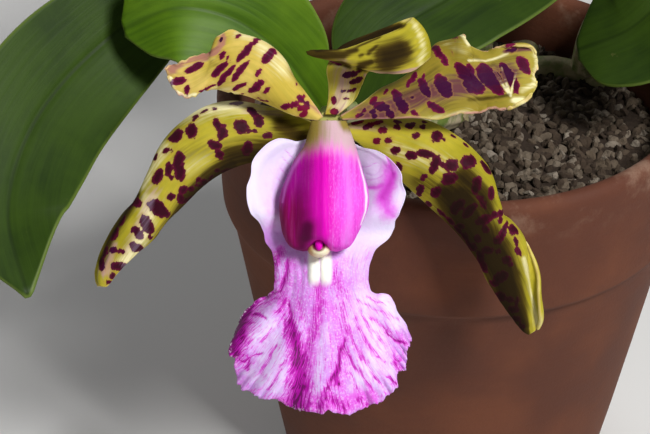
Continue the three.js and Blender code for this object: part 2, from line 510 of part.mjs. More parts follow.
// The bark fills the pot to BARK_TOP. Loose chips are fused onto it, and it is cut clear of the
// pot, the rhizome and the roots.
function barkSolid() {
  const draw = seeded(11);
  const foot = POT_FLOOR + GAP;
  const fill = new THREE.LatheGeometry([
    [0, foot], [innerRadiusAt(foot) - GAP, foot], [innerRadiusAt(BARK_TOP) - GAP, BARK_TOP], [0, BARK_TOP],
  ].map((p) => new THREE.Vector2(...p)), 40);
  fill.rotateX(Math.PI / 2);
  let bark = solidOf(fill);
  const chips = [];
  for (let k = 0; k < CHIP_COUNT; k++) {
    const size = lerp(...CHIP_RADIUS, draw());
    const reach = (innerRadiusAt(BARK_TOP) - GAP - size - 0.4) * Math.sqrt((k + 0.5) / CHIP_COUNT);
    const angle = k * 2.39996 + draw();
    const chip = new THREE.IcosahedronGeometry(size, 0);
    chip.scale(1, 0.75, 0.6);
    chip.rotateX(draw() * 1.2 - 0.6);
    chip.rotateY(draw() * 1.2 - 0.6);
    chip.rotateZ(draw() * Math.PI);
    chip.translate(reach * Math.cos(angle), reach * Math.sin(angle), BARK_TOP + draw() * 1.2 - 0.4);
    chips.push(solidOf(chip));
  }
  bark = wasm.Manifold.union([bark, ...chips]);
  const cutters = [rhizomeSolid(GAP)];
  for (const { line, radius } of BULBS) cutters.push(solidOf(stem(pointLine(line), bulbRadius(radius, GAP), 10, 12)));
  return largestBody(bark.subtract(wasm.Manifold.union(cutters)));
}

plant.add(named('potting_mix', geometryOf(barkSolid()), COLOURS.bark, 0.95));
plant.add(named('rhizome', geometryOf(rhizome), COLOURS.rhizome, 0.7));
BULBS.forEach(({ name }, k) => {
  plant.add(named(`pseudobulb_${name}`, geometryOf(bulbs[k].subtract(rhizomeSolid(GAP))), COLOURS.bulb, 0.5));
});

const STALK_RADIUS = valueLine([1.7, 1.6, 2.2, 2.3, 2]);
const STALK_LINE = [[-28, -21, 107.2], [-28.7, -30, 112.4], [-29.1, -41, 118.2], [-29.2, -51.4, 122.8], [-29.2, -53.6, 124.1]];
const stalk = (extra) => solidOf(stem(pointLine(STALK_LINE), (t) => STALK_RADIUS(t) + extra, 12, 12));
const bulbClear = BULBS.map(({ line, radius }) => solidOf(stem(pointLine(line), bulbRadius(radius, GAP), 10, 12)));

for (const leaf of LEAVES) {
  const blade = solidOf(leafGeometry(leaf)).subtract(bulbClear[leaf.bulb]).subtract(stalk(GAP));
  plant.add(named(leaf.name, geometryOf(largestBody(blade)), COLOURS.leaf, 0.4));
}
plant.add(named('flower_stalk', geometryOf(largestBody(stalk(0).subtract(bulbClear[0]))), COLOURS.stalk));

for (const [name, tepal] of Object.entries(TEPALS)) {
  const colour = name.startsWith('petal') ? COLOURS.petal : COLOURS.sepal;
  plant.add(named(name, placed(tepalGeometry(tepal)), colour, 0.45));
}
plant.add(named('lip', placed(sheet(lipPoint, LIP_ROWS, LIP_COLUMNS, () => LIP_THICKNESS / 2)), COLOURS.lip, 0.5));

const tooth = ball(TOOTH_CENTRE, TOOTH_RADII, 0, 2);
const notch = new THREE.CylinderGeometry(1, 1, 20, 24);
notch.rotateX(Math.PI / 2);
notch.scale(CAP_RADII[0] + GAP, CAP_RADII[1] + GAP, 1);
notch.translate(CAP_CENTRE[0], CAP_CENTRE[1], CAP_CENTRE[2] + 6);
const column = solidOf(columnGeometry()).subtract(solidOf(notch)).add(tooth);
plant.add(named('column', placed(geometryOf(column)), COLOURS.column, 0.35));
plant.add(named('anther_cap', placed(geometryOf(ball(CAP_CENTRE, CAP_RADII, 0, 2))), COLOURS.anther, 0.4));

export default plant;
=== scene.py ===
# A cattleya orchid in a clay pot, finished piece by piece in the order in which it is put together:
# pot, potting mix, creeping stem and roots, pseudobulbs, leaves, flower stalk, sepals, petals, lip,
# column and anther cap. Metres, +Z up, the origin on the pot's axis at the level that it stands on.
# The tables of the plant's own lines and sizes are in millimetres.
import math

import bmesh
import bpy
import numpy as np
from mathutils import Matrix, Vector


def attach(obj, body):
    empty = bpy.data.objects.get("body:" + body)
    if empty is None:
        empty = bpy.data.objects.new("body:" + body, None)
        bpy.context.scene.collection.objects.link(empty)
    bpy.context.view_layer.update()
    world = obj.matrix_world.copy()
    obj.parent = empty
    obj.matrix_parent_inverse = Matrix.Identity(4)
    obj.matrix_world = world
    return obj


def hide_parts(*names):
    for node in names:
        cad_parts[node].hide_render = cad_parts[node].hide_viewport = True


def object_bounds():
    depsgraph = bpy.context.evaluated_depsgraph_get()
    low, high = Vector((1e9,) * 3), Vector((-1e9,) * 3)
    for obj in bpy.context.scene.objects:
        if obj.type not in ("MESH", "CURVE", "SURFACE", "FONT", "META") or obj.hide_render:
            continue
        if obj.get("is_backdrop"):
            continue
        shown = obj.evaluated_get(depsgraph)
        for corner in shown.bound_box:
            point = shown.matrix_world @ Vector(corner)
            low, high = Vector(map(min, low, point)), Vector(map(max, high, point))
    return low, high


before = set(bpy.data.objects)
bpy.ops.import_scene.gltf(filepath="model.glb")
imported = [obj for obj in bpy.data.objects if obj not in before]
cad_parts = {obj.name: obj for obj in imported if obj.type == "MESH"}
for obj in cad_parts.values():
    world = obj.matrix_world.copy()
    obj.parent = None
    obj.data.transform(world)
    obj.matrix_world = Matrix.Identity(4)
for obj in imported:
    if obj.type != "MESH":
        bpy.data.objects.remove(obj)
cad_low, cad_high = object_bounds()

# ------------------------------ Studio
# A pale seamless floor, one soft key light over the right shoulder, a broad fill from the left and
# a low light behind the leaves. The long lens looks down into the open face of the bloom.
scene = bpy.context.scene
scene.view_settings.view_transform = "Standard"

floor_mesh = bpy.data.meshes.new("studio_floor")
floor_mesh.from_pydata([(-3, -3, 0), (3, -3, 0), (3, 3, 0), (-3, 3, 0)], [], [(0, 1, 2, 3)])
floor_paper = bpy.data.materials.new("pale floor paper")
floor_paper.use_nodes = True
floor_paper.node_tree.nodes["Principled BSDF"].inputs["Base Color"].default_value = (0.72, 0.71, 0.69, 1)
floor_paper.node_tree.nodes["Principled BSDF"].inputs["Roughness"].default_value = 0.9
floor_mesh.materials.append(floor_paper)
floor = bpy.data.objects.new("studio_floor", floor_mesh)
scene.collection.objects.link(floor)
floor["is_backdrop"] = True

room = bpy.data.worlds.new("soft studio")
room.use_nodes = True
room.node_tree.nodes["Background"].inputs["Color"].default_value = (0.86, 0.89, 0.95, 1)
room.node_tree.nodes["Background"].inputs["Strength"].default_value = 0.12
scene.world = room

BLOOM_CENTRE = Vector((-0.030, -0.0634, 0.1077))
LOOKING_DOWN = 33
CAMERA_PLACE = (-0.0300, -0.3662, 0.3043)
LENS_LENGTH = 100
SENSOR_WIDTH = 36
for name, spot, size, power in (
    ("key", (0.367, -0.540, 0.823), 0.24, 11.0),
    ("fill", (-0.60, -0.90, 0.50), 0.90, 1.0),
    ("back", (-0.30, 0.80, 0.75), 0.60, 2.2),
):
    lamp = bpy.data.lights.new(name, "AREA")
    lamp.size = size
    lamp.energy = power
    light = bpy.data.objects.new(name, lamp)
    light.location = spot
    light.rotation_euler = (BLOOM_CENTRE - Vector(spot)).to_track_quat("-Z", "Y").to_euler()
    scene.collection.objects.link(light)

lens = bpy.data.cameras.new("camera")
lens.lens = LENS_LENGTH
lens.sensor_width = SENSOR_WIDTH
lens.clip_start = 0.01
camera = bpy.data.objects.new("camera", lens)
camera.location = CAMERA_PLACE
camera.rotation_euler = (math.radians(90 - LOOKING_DOWN), 0, 0)
scene.collection.objects.link(camera)
scene.camera = camera

# ------------------------------ Clay pot
# A common flower pot of fired red clay, thrown on a wheel: a tapered body, a straight rim band that
# stands a little proud of it, a rounded lip and three drain holes. Its clay is dry and unglazed.
POT_HEIGHT = 0.104
POT_FLOOR = 0.006
RIM_RADIUS = 0.055
RIM_LEDGE = 0.0755
WALL_TOP_RADIUS = 0.0529
BASE_RADIUS = 0.040
POT_SIDES = 192
# The pot's outline, each ring's radius and height: up the outside, over the lip and down the inside.
POT_RINGS = [
    (0, 0), (0.015, 0), (0.030, 0), (BASE_RADIUS - 0.0025, 0.0001), (BASE_RADIUS - 0.0011, 0.0004),
    (BASE_RADIUS - 0.0003, 0.0011), (BASE_RADIUS + 0.0001, 0.002),
    (0.0435, 0.0205), (0.0469, 0.0405), (0.0500, 0.0590), (0.0521, 0.0710),
    (WALL_TOP_RADIUS - 0.0003, RIM_LEDGE - 0.0007), (WALL_TOP_RADIUS, RIM_LEDGE - 0.0003),
    (0.0534, RIM_LEDGE - 0.0002), (0.0540, RIM_LEDGE + 0.0001), (0.0543, RIM_LEDGE + 0.0010),
    (0.0545, 0.0800), (0.0547, 0.0880), (0.0549, 0.0960), (RIM_RADIUS, 0.1008),
    (0.0549, POT_HEIGHT - 0.0020), (0.0545, POT_HEIGHT - 0.0009), (0.0538, POT_HEIGHT - 0.0002),
    (0.0529, POT_HEIGHT), (0.0519, POT_HEIGHT - 0.00015), (0.0510, POT_HEIGHT - 0.0008),
    (0.0503, 0.1022), (0.0499, 0.1005), (0.0494, 0.0960), (0.0484, 0.0900), (0.0460, 0.0740),
    (0.0420, 0.0480), (0.0385, 0.0250), (0.0362, 0.0095), (0.0352, POT_FLOOR + 0.0008),
    (0.0330, POT_FLOOR + 0.0001), (0.016, POT_FLOOR), (0, POT_FLOOR),
]
DRAIN_COUNT = 3
DRAIN_RADIUS = 0.005
DRAIN_RING = 0.017
CLAY_DARK, CLAY_LIGHT = (0.088, 0.025, 0.011), (0.136, 0.043, 0.019)
CLAY_SPECK = (0.10, 0.032, 0.018)
DRIED_LIME = (0.33, 0.22, 0.155)


def show(name, mesh, material):
    """Places a finished mesh in the scene, with its material, on the one body."""
    if material is not None:
        mesh.materials.clear()
        mesh.materials.append(material)
    piece = bpy.data.objects.new(name, mesh)
    scene.collection.objects.link(piece)
    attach(piece, "root")
    return piece


def place(tree, kind, values=None, **settings):
    """Adds a node. Each value is a number, a colour or the output of an earlier node."""
    node = tree.nodes.new(kind)
    for key, setting in settings.items():
        setattr(node, key, setting)
    for key, value in (values or {}).items():
        if isinstance(value, bpy.types.NodeSocket):
            tree.links.new(value, node.inputs[key])
        else:
            node.inputs[key].default_value = value
    return node


def finish_named(name, roughness, **values):
    """A new material: its tree, its Principled BSDF and its Object coordinates."""
    material = bpy.data.materials.new(name)
    material.use_nodes = True
    skin = material.node_tree.nodes["Principled BSDF"]
    skin.inputs["Roughness"].default_value = roughness
    for key, value in values.items():
        skin.inputs[key.replace("_", " ")].default_value = value
    coordinates = place(material.node_tree, "ShaderNodeTexCoord").outputs["Object"]
    return material, material.node_tree, skin, coordinates


def noise(tree, coordinates, scale, detail=3.0, roughness=0.55, stretch=None):
    """The value of a noise texture, on coordinates that may be stretched."""
    if stretch is not None:
        coordinates = place(tree, "ShaderNodeMapping", {"Vector": coordinates, "Scale": stretch}).outputs[0]
    values = {"Vector": coordinates, "Scale": scale, "Detail": detail, "Roughness": roughness}
    return place(tree, "ShaderNodeTexNoise", values).outputs["Fac"]


def ramp(tree, value, low, high, bottom=0.0, top=1.0):
    """value, from low to high, as a smooth step from bottom to top."""
    values = {"Value": value, "From Min": low, "From Max": high, "To Min": bottom, "To Max": top}
    return place(tree, "ShaderNodeMapRange", values, interpolation_type="SMOOTHSTEP").outputs[0]


def sums(tree, operation, first, second=0.0):
    """The output of a Math node, by the name of its operation."""
    return place(tree, "ShaderNodeMath", {0: first, 1: second}, operation=operation).outputs[0]


def plus(tree, first, second):
    return sums(tree, "ADD", first, second)


def minus(tree, first, second):
    return sums(tree, "SUBTRACT", first, second)


def times(tree, first, second):
    return sums(tree, "MULTIPLY", first, second)


def mixed(tree, share, first, second):
    """Two colours, mixed by a share from 0 to 1. Each one is an output, or its red, green and blue."""
    low, high = ((*colour, 1) if isinstance(colour, tuple) else colour for colour in (first, second))
    return place(tree, "ShaderNodeMix", {0: share, 6: low, 7: high}, data_type="RGBA").outputs[2]


def relief(tree, skin, height, distance, strength=1.0, below=None):
    """Feeds a height to the skin's Normal, over another relief if there is one."""
    values = {"Height": height, "Distance": distance, "Strength": strength}
    if below is not None:
        values["Normal"] = below
    bump = place(tree, "ShaderNodeBump", values).outputs[0]
    tree.links.new(bump, skin.inputs["Normal"])
    return bump


def clay_finish():
    material, tree, skin, where = finish_named("fired red clay", 0.82, Specular_IOR_Level=0.35)
    cloud = noise(tree, where, 38, 4)
    colour = mixed(tree, ramp(tree, cloud, 0.35, 0.68), CLAY_DARK, CLAY_LIGHT)
    fine = noise(tree, where, 1500, 2)
    colour = mixed(tree, ramp(tree, fine, 0.58, 0.72, 0, 0.35), colour, CLAY_SPECK)
    # Lime from the water dries out pale in patches on the rim and low on the body.
    height = place(tree, "ShaderNodeSeparateXYZ", {"Vector": where}).outputs["Z"]
    at_rim = ramp(tree, height, 0.092, POT_HEIGHT)
    at_foot = ramp(tree, height, 0.022, 0.002)
    patches = ramp(tree, noise(tree, where, 75, 6, 0.7), 0.48, 0.72)
    lime = times(tree, sums(tree, "MAXIMUM", at_rim, at_foot), patches)
    colour = mixed(tree, times(tree, lime, 0.55), colour, DRIED_LIME)
    tree.links.new(colour, skin.inputs["Base Color"])
    tree.links.new(ramp(tree, cloud, 0.3, 0.7, 0.74, 0.9), skin.inputs["Roughness"])
    rings = noise(tree, where, 1.0, 2, 0.5, (30, 30, 700))
    grain = plus(tree, times(tree, rings, 0.6), times(tree, fine, 0.4))
    relief(tree, skin, grain, 0.00022, 0.7)
    return material


def turned(rings, sides):
    """A closed form turned on the Z axis from its rings, each (radius, height), with ends on the axis."""
    form = bmesh.new()
    loops = []
    turn = [2 * math.pi * k / sides for k in range(sides)]
    for radius, height in rings:
        if radius == 0:
            loops.append([form.verts.new((0, 0, height))])
            continue
        loops.append([form.verts.new((radius * math.cos(a), radius * math.sin(a), height)) for a in turn])
    for lower, upper in zip(loops, loops[1:]):
        for k in range(sides):
            near = [lower[k], lower[(k + 1) % sides]] if len(lower) > 1 else [lower[0]]
            far = [upper[(k + 1) % sides], upper[k]] if len(upper) > 1 else [upper[0]]
            form.faces.new(near + far)
    bmesh.ops.recalc_face_normals(form, faces=form.faces)
    mesh = bpy.data.meshes.new("turned")
    form.to_mesh(mesh)
    form.free()
    mesh.polygons.foreach_set("use_smooth", [True] * len(mesh.polygons))
    return mesh


pot_blank = bpy.data.objects.new("pot_blank", turned(POT_RINGS, POT_SIDES))
scene.collection.objects.link(pot_blank)
drills = bmesh.new()
for k in range(DRAIN_COUNT):
    angle = math.radians(30 + 360 / DRAIN_COUNT * k)
    spot = Matrix.Translation((DRAIN_RING * math.cos(angle), DRAIN_RING * math.sin(angle), POT_FLOOR / 2))
    bmesh.ops.create_cone(drills, cap_ends=True, segments=40, radius1=DRAIN_RADIUS, radius2=DRAIN_RADIUS,
                          depth=0.02, matrix=spot)
drill_mesh = bpy.data.meshes.new("drills")
drills.to_mesh(drill_mesh)
drills.free()
drill = bpy.data.objects.new("drills", drill_mesh)
scene.collection.objects.link(drill)
bore = pot_blank.modifiers.new("bore", "BOOLEAN")
bore.operation = "DIFFERENCE"
bore.object = drill
bore.solver = "EXACT"
bpy.context.view_layer.update()
pot_mesh = bpy.data.meshes.new_from_object(pot_blank.evaluated_get(bpy.context.evaluated_depsgraph_get()))
bpy.data.objects.remove(pot_blank)
bpy.data.objects.remove(drill)
clay_pot = show("clay_pot", pot_mesh, clay_finish())
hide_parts("pot")

# ------------------------------ Potting mix
# Coarse bark and grit, packed in the pot to a little below its rim. The top layer lies loose: angular
# grains of two to four millimetres, dusty grey to brown, over a darker bed.
BED_LEVEL = 0.0905
BED_RADIUS = 0.0478
BED_SIDES = 96
STREWN_LEVEL = BED_LEVEL + 0.0002
STREWN_SIDES = 48
GRAIN_SIZE = 0.00135
GRAIN_DENSITY = 260000
GRAIN_SEED = 7
GRAIN_DENT = 0.0022
GRAIN_LOW, GRAIN_HIGH = (0.75, 0.6, 0.4), (1.6, 1.15, 0.85)
GRAIN_SHADES = [
    (0.0, (0.026, 0.016, 0.010, 1)), (0.3, (0.055, 0.037, 0.024, 1)), (0.6, (0.098, 0.071, 0.047, 1)),
    (0.85, (0.155, 0.122, 0.088, 1)), (1.0, (0.25, 0.21, 0.165, 1)),
]
BARK_DUST = (0.045, 0.030, 0.020)


def tree_named(name, kind, inputs, output):
    """A new node tree and its inputs. Each input is a name, a kind of socket and a value, if it has one."""
    tree = bpy.data.node_groups.new(name, kind)
    for label, socket_kind, *value in inputs:
        socket = tree.interface.new_socket(label, in_out="INPUT", socket_type="NodeSocket" + socket_kind)
        if value:
            socket.default_value = value[0]
    label, socket_kind = output
    tree.interface.new_socket(label, in_out="OUTPUT", socket_type="NodeSocket" + socket_kind)
    return tree, tree.nodes.new("NodeGroupInput").outputs


def grain_finish():
    material, tree, skin, where = finish_named("bark and grit", 0.93, Specular_IOR_Level=0.25)
    tint = place(tree, "ShaderNodeAttribute", attribute_name="grain tint").outputs["Fac"]
    stops = place(tree, "ShaderNodeValToRGB", {"Fac": tint})
    for k, (position, colour) in enumerate(GRAIN_SHADES):
        stop = stops.color_ramp.elements[k] if k < 2 else stops.color_ramp.elements.new(position)
        stop.position = position
        stop.color = colour
    rough = noise(tree, where, 900, 4, 0.7)
    colour = mixed(tree, ramp(tree, rough, 0.4, 0.7, 0, 0.6), stops.outputs[0], BARK_DUST)
    tree.links.new(colour, skin.inputs["Base Color"])
    relief(tree, skin, rough, 0.0005, 0.9)
    return material


def grain_tree():
    """Grains strewn over a bed: loose angular lumps, each turned and sized by chance."""
    tree, given = tree_named("strewn grains", "GeometryNodeTree", [
        ("Bed", "Geometry"), ("Density", "Float"), ("Grain Size", "Float"), ("Seed", "Int"),
        ("Material", "Material")], ("Grains", "Geometry"))
    strewn = place(tree, "GeometryNodeDistributePointsOnFaces",
                   {"Mesh": given["Bed"], "Density": given["Density"], "Seed": given["Seed"]})
    lump = place(tree, "GeometryNodeMeshIcoSphere", {"Radius": 1.0, "Subdivisions": 2})
    full_turn = (math.tau, math.tau, math.tau)
    turn = place(tree, "FunctionNodeRandomValue",
                 {1: full_turn, "Seed": given["Seed"]}, data_type="FLOAT_VECTOR")
    size = place(tree, "FunctionNodeRandomValue",
                 {0: GRAIN_LOW, 1: GRAIN_HIGH, "Seed": given["Seed"]}, data_type="FLOAT_VECTOR")
    sized = place(tree, "ShaderNodeVectorMath",
                  {0: size.outputs[0], "Scale": given["Grain Size"]}, operation="SCALE")
    laid = place(tree, "GeometryNodeInstanceOnPoints", {
        "Points": strewn.outputs["Points"], "Instance": lump.outputs["Mesh"],
        "Rotation": turn.outputs[0], "Scale": sized.outputs[0]})
    chance = place(tree, "FunctionNodeRandomValue",
                   {2: 0.0, 3: 1.0, "Seed": given["Seed"]}, data_type="FLOAT")
    tinted = place(tree, "GeometryNodeStoreNamedAttribute",
                   {"Geometry": laid.outputs[0], "Name": "grain tint", "Value": chance.outputs[1]},
                   data_type="FLOAT", domain="INSTANCE")
    real = place(tree, "GeometryNodeRealizeInstances", {"Geometry": tinted.outputs[0]})
    lumps = place(tree, "ShaderNodeTexNoise", {"Scale": 420.0, "Detail": 1.0}, noise_dimensions="3D")
    push = place(tree, "ShaderNodeVectorMath",
                 {0: lumps.outputs["Color"], 1: (0.5, 0.5, 0.5)}, operation="SUBTRACT")
    pushed = place(tree, "ShaderNodeVectorMath", {0: push.outputs[0], "Scale": GRAIN_DENT}, operation="SCALE")
    moved = place(tree, "GeometryNodeSetPosition", {"Geometry": real.outputs[0], "Offset": pushed.outputs[0]})
    flat = place(tree, "GeometryNodeSetShadeSmooth", {"Geometry": moved.outputs[0], "Shade Smooth": False})
    dressed = place(tree, "GeometryNodeSetMaterial",
                    {"Geometry": flat.outputs[0], "Material": given["Material"]})
    place(tree, "NodeGroupOutput", {0: dressed.outputs[0]})
    return tree


def grown_by(tree, start, values):
    """Runs a geometry tree on an object and gives back the plain mesh. The object is used up."""
    scene.collection.objects.link(start)
    modifier = start.modifiers.new(tree.name, "NODES")
    modifier.node_group = tree
    named = {item.name: item.identifier for item in tree.interface.items_tree if item.in_out == "INPUT"}
    for key, value in values.items():
        modifier[named[key]] = value
    bpy.context.view_layer.update()
    mesh = bpy.data.meshes.new_from_object(start.evaluated_get(bpy.context.evaluated_depsgraph_get()))
    bpy.data.objects.remove(start)
    mesh.materials.clear()
    mesh.materials.append(values["Material"])
    mesh.polygons.foreach_set("material_index", [0] * len(mesh.polygons))
    return mesh


def mounded(x, y):
    """How far the bed rises above its level: it is loosely uneven."""
    return 0.0007 * np.sin(260 * x + 1) * np.sin(210 * y) + 0.0005 * np.sin(540 * x - 430 * y)


bed_rings = [
    (0, 0.0070), (0.0340, 0.0070), (0.0356, 0.0085), (0.0384, 0.0270), (0.0462, 0.0790), (BED_RADIUS, 0.0895)]
for share in (0.98, 0.94, 0.88, 0.8, 0.7, 0.6, 0.5, 0.4, 0.3, 0.2, 0.1, 0):
    bed_rings.append((BED_RADIUS * share, BED_LEVEL))
bed_mesh = turned(bed_rings, BED_SIDES)
bed_points = np.empty(len(bed_mesh.vertices) * 3)
bed_mesh.vertices.foreach_get("co", bed_points)
bed_points = bed_points.reshape(-1, 3)
top = bed_points[:, 2] > BED_LEVEL - 1e-6
bed_points[top, 2] += mounded(bed_points[top, 0], bed_points[top, 1])
bed_mesh.vertices.foreach_set("co", bed_points.ravel())
bed_finish = grain_finish()
bed = show("bark_bed", bed_mesh, bed_finish)
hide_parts("potting_mix")

strewn_rings = [(radius, STREWN_LEVEL) for radius in (0, 0.012, 0.024, 0.036)] + [(BED_RADIUS, BED_LEVEL)]
strewing = turned(strewn_rings, STREWN_SIDES)
grains = grown_by(grain_tree(), bpy.data.objects.new("strewing", strewing), {
    "Density": GRAIN_DENSITY, "Grain Size": GRAIN_SIZE, "Seed": GRAIN_SEED, "Material": bed_finish})
grain_layer = show("bark_grains", grains, None)

# ------------------------------ Creeping stem
# A woody rhizome creeps over the bark, half sunk, ringed where each old scale leaf grew, with a fork
# to the flowering lead and a few thick roots that dive into the mix.
RHIZOME_RADIUS = 3.0
RHIZOME_LINES = [
    [(39, 22, 91.5), (28, 28, 92), (8, 26, 92), (-14, 21, 92), (-38, 13, 91.5)],
    [(8, 26, 92), (6, 15, 92), (1, 3, 91.5)],
]
ROOT_RADIUS = 1.5
ROOT_LINES = [
    [(-30, 16, 91), (-36, 22, 93.5), (-38, 26, 92.5), (-36, 29, 86)],
    [(18, 27, 91), (22, 34, 94), (19, 39, 92.5), (14, 41, 86)],
    [(-5, 22, 91), (-12, 28, 94.5), (-16, 35, 93), (-18, 39, 86)],
    [(4, 8, 91), (-6, 5, 94), (-16, 4, 93), (-24, 2, 86)],
]
RHIZOME_GREEN, RHIZOME_WOOD = (0.17, 0.19, 0.06), (0.33, 0.27, 0.15)
RHIZOME_SCALE = (0.2, 0.12, 0.07)


def through(points, t):
    """The smooth line through points[0], points[1], ... at each t from 0 to 1."""
    points = np.asarray(points, float)
    ends = np.concatenate([[2 * points[0] - points[1]], points, [2 * points[-1] - points[-2]]])
    place_on = np.clip(np.asarray(t, float), 0, 1) * (len(points) - 1)
    first = np.minimum(place_on.astype(int), len(points) - 2)
    w = (place_on - first).reshape((-1,) + (1,) * (points.ndim - 1))
    x0, x1, x2, x3 = (ends[first + k] for k in range(4))
    gap0, gap1, gap2 = (np.sqrt(np.linalg.norm(b - a, axis=-1, keepdims=True))
                        for a, b in ((x0, x1), (x1, x2), (x2, x3)))
    gap1 = np.where(gap1 < 1e-4, 1, gap1)
    gap0 = np.where(gap0 < 1e-4, gap1, gap0)
    gap2 = np.where(gap2 < 1e-4, gap1, gap2)
    start = ((x1 - x0) / gap0 - (x2 - x0) / (gap0 + gap1) + (x2 - x1) / gap1) * gap1
    stop = ((x2 - x1) / gap1 - (x3 - x1) / (gap1 + gap2) + (x3 - x2) / gap2) * gap1
    return x1 + start * w + (3 * (x2 - x1) - 2 * start - stop) * w**2 + (2 * (x1 - x2) + start + stop) * w**3


def smooth_step(low, high, value):
    """How far value has come from low to high, from 0 to 1, with a soft start and stop."""
    share = np.clip((value - low) / (high - low), 0, 1)
    return share * share * (3 - 2 * share)


def value_through(values, t):
    """A smooth line through given values, at each t."""
    return through([(k, value, 0) for k, value in enumerate(values)], np.ravel(t))[:, 1].reshape(np.shape(t))


def stem_tree():
    """A round stem swept along a curve by the curve's own radius, furrowed along and roughened; rings across
    come only from that radius.
    """
    tree, given = tree_named("grown stem", "GeometryNodeTree", [
        ("Line", "Geometry"), ("Sides", "Int"), ("Furrows", "Float"), ("Furrow Depth", "Float"),
        ("Roughness", "Float"), ("Material", "Material")], ("Stem", "Geometry"))
    ring = place(tree, "GeometryNodeCurvePrimitiveCircle", {"Resolution": given["Sides"], "Radius": 1.0})
    share = place(tree, "GeometryNodeSplineParameter").outputs["Factor"]
    marked = place(tree, "GeometryNodeStoreNamedAttribute",
                   {"Geometry": ring.outputs[0], "Name": "around", "Value": share},
                   data_type="FLOAT", domain="POINT")
    radius = place(tree, "GeometryNodeInputRadius").outputs[0]
    swept = place(tree, "GeometryNodeCurveToMesh", {
        "Curve": given["Line"], "Profile Curve": marked.outputs[0], "Scale": radius, "Fill Caps": True})
    around = place(tree, "GeometryNodeInputNamedAttribute", {"Name": "around"}, data_type="FLOAT").outputs[0]
    turns = times(tree, times(tree, around, given["Furrows"]), math.tau)
    wave = times(tree, sums(tree, "SINE", turns), given["Furrow Depth"])
    lumps = place(tree, "ShaderNodeTexNoise", {"Scale": 260.0, "Detail": 2.0}).outputs["Fac"]
    lump = times(tree, minus(tree, lumps, 0.5), given["Roughness"])
    outward = place(tree, "GeometryNodeInputNormal").outputs[0]
    offset = place(tree, "ShaderNodeVectorMath",
                   {0: outward, "Scale": plus(tree, wave, lump)}, operation="SCALE")
    moved = place(tree, "GeometryNodeSetPosition",
                  {"Geometry": swept.outputs[0], "Offset": offset.outputs[0]})
    smooth = place(tree, "GeometryNodeSetShadeSmooth", {"Geometry": moved.outputs[0], "Shade Smooth": True})
    dressed = place(tree, "GeometryNodeSetMaterial",
                    {"Geometry": smooth.outputs[0], "Material": given["Material"]})
    place(tree, "NodeGroupOutput", {0: dressed.outputs[0]})
    return tree


GROWN_STEM = stem_tree()


def stem_line(name, paths):
    """A curve object of one open line for each (points, radii), given in millimetres."""
    data = bpy.data.curves.new(name, "CURVE")
    data.dimensions = "3D"
    for points, radii in paths:
        spline = data.splines.new("POLY")
        spline.points.add(len(points) - 1)
        for knot, point, radius in zip(spline.points, points, radii):
            knot.co = (*(np.asarray(point) / 1000), 1)
            knot.radius = radius / 1000
    return bpy.data.objects.new(name, data)


def rhizome_finish():
    material, tree, skin, where = finish_named("woody rhizome", 0.7)
    streak = noise(tree, where, 240, 5, 0.65)
    colour = mixed(tree, ramp(tree, streak, 0.35, 0.65), RHIZOME_GREEN, RHIZOME_WOOD)
    colour = mixed(tree, ramp(tree, noise(tree, where, 90, 3), 0.5, 0.7, 0, 0.7), colour, RHIZOME_SCALE)
    tree.links.new(colour, skin.inputs["Base Color"])
    relief(tree, skin, streak, 0.0006, 0.8)
    return material


rhizome_paths = []
for line in RHIZOME_LINES:
    t = np.linspace(0, 1, 90)
    swell = 0.75 + 0.25 * np.sin(np.pi * t) + 0.05 * np.abs(np.sin(np.pi * 9 * t)) ** 8
    rhizome_paths.append((through(line, t), RHIZOME_RADIUS * swell))
for line in ROOT_LINES:
    t = np.linspace(0, 1, 50)
    rhizome_paths.append((through(line, t), ROOT_RADIUS * (1 - 0.2 * t)))
rhizome_mesh = grown_by(GROWN_STEM, stem_line("rhizome_line", rhizome_paths), {
    "Sides": 24, "Furrows": 5.0, "Furrow Depth": 0.00008, "Roughness": 0.0004, "Material": rhizome_finish()})
rhizome = show("creeping_rhizome", rhizome_mesh, None)
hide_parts("rhizome")

# ------------------------------ Pseudobulbs
# Short swollen stems that stand on the rhizome and carry the leaves. They are green, furrowed along
# as they age, and keep shreds of dry papery scale round their lower half.
BULBS = [
    ("pseudobulb_1", [(0, 2, 93.6), (-6, -5, 98), (-17, -13, 102), (-27, -20, 106)], 5.2),
    ("pseudobulb_2", [(-35, 14, 93.6), (-37, 13, 103), (-40, 9, 116), (-41, 6, 127)], 5.6),
    ("pseudobulb_3", [(33, 24, 93.6), (37, 24, 104), (46, 22, 116), (54, 19, 127)], 5.6),
    ("pseudobulb_4", [(8, 27, 94), (5, 31, 105), (-2, 37, 119), (-8, 41, 131)], 6.0),
]
BULB_SWELL = [0.55, 0.8, 1, 1, 0.9, 0.62]
BULB_DEEP, BULB_LIGHT = (0.085, 0.135, 0.024), (0.19, 0.24, 0.055)
DRY_SCALE = (0.42, 0.35, 0.22)


def bulb_finish():
    material, tree, skin, where = finish_named("pseudobulb skin", 0.42)
    cloud = noise(tree, where, 90, 4)
    colour = mixed(tree, ramp(tree, cloud, 0.35, 0.7), BULB_DEEP, BULB_LIGHT)
    height = place(tree, "ShaderNodeSeparateXYZ", {"Vector": where}).outputs["Z"]
    shreds = ramp(tree, noise(tree, where, 170, 5, 0.65), 0.4, 0.56)
    dry = times(tree, ramp(tree, height, 0.116, 0.098), shreds)
    colour = mixed(tree, dry, colour, DRY_SCALE)
    tree.links.new(colour, skin.inputs["Base Color"])
    tree.links.new(ramp(tree, dry, 0, 1, 0.4, 0.8), skin.inputs["Roughness"])
    fibre = noise(tree, where, 500, 3)
    relief(tree, skin, plus(tree, fibre, dry), 0.0002, 0.6)
    return material


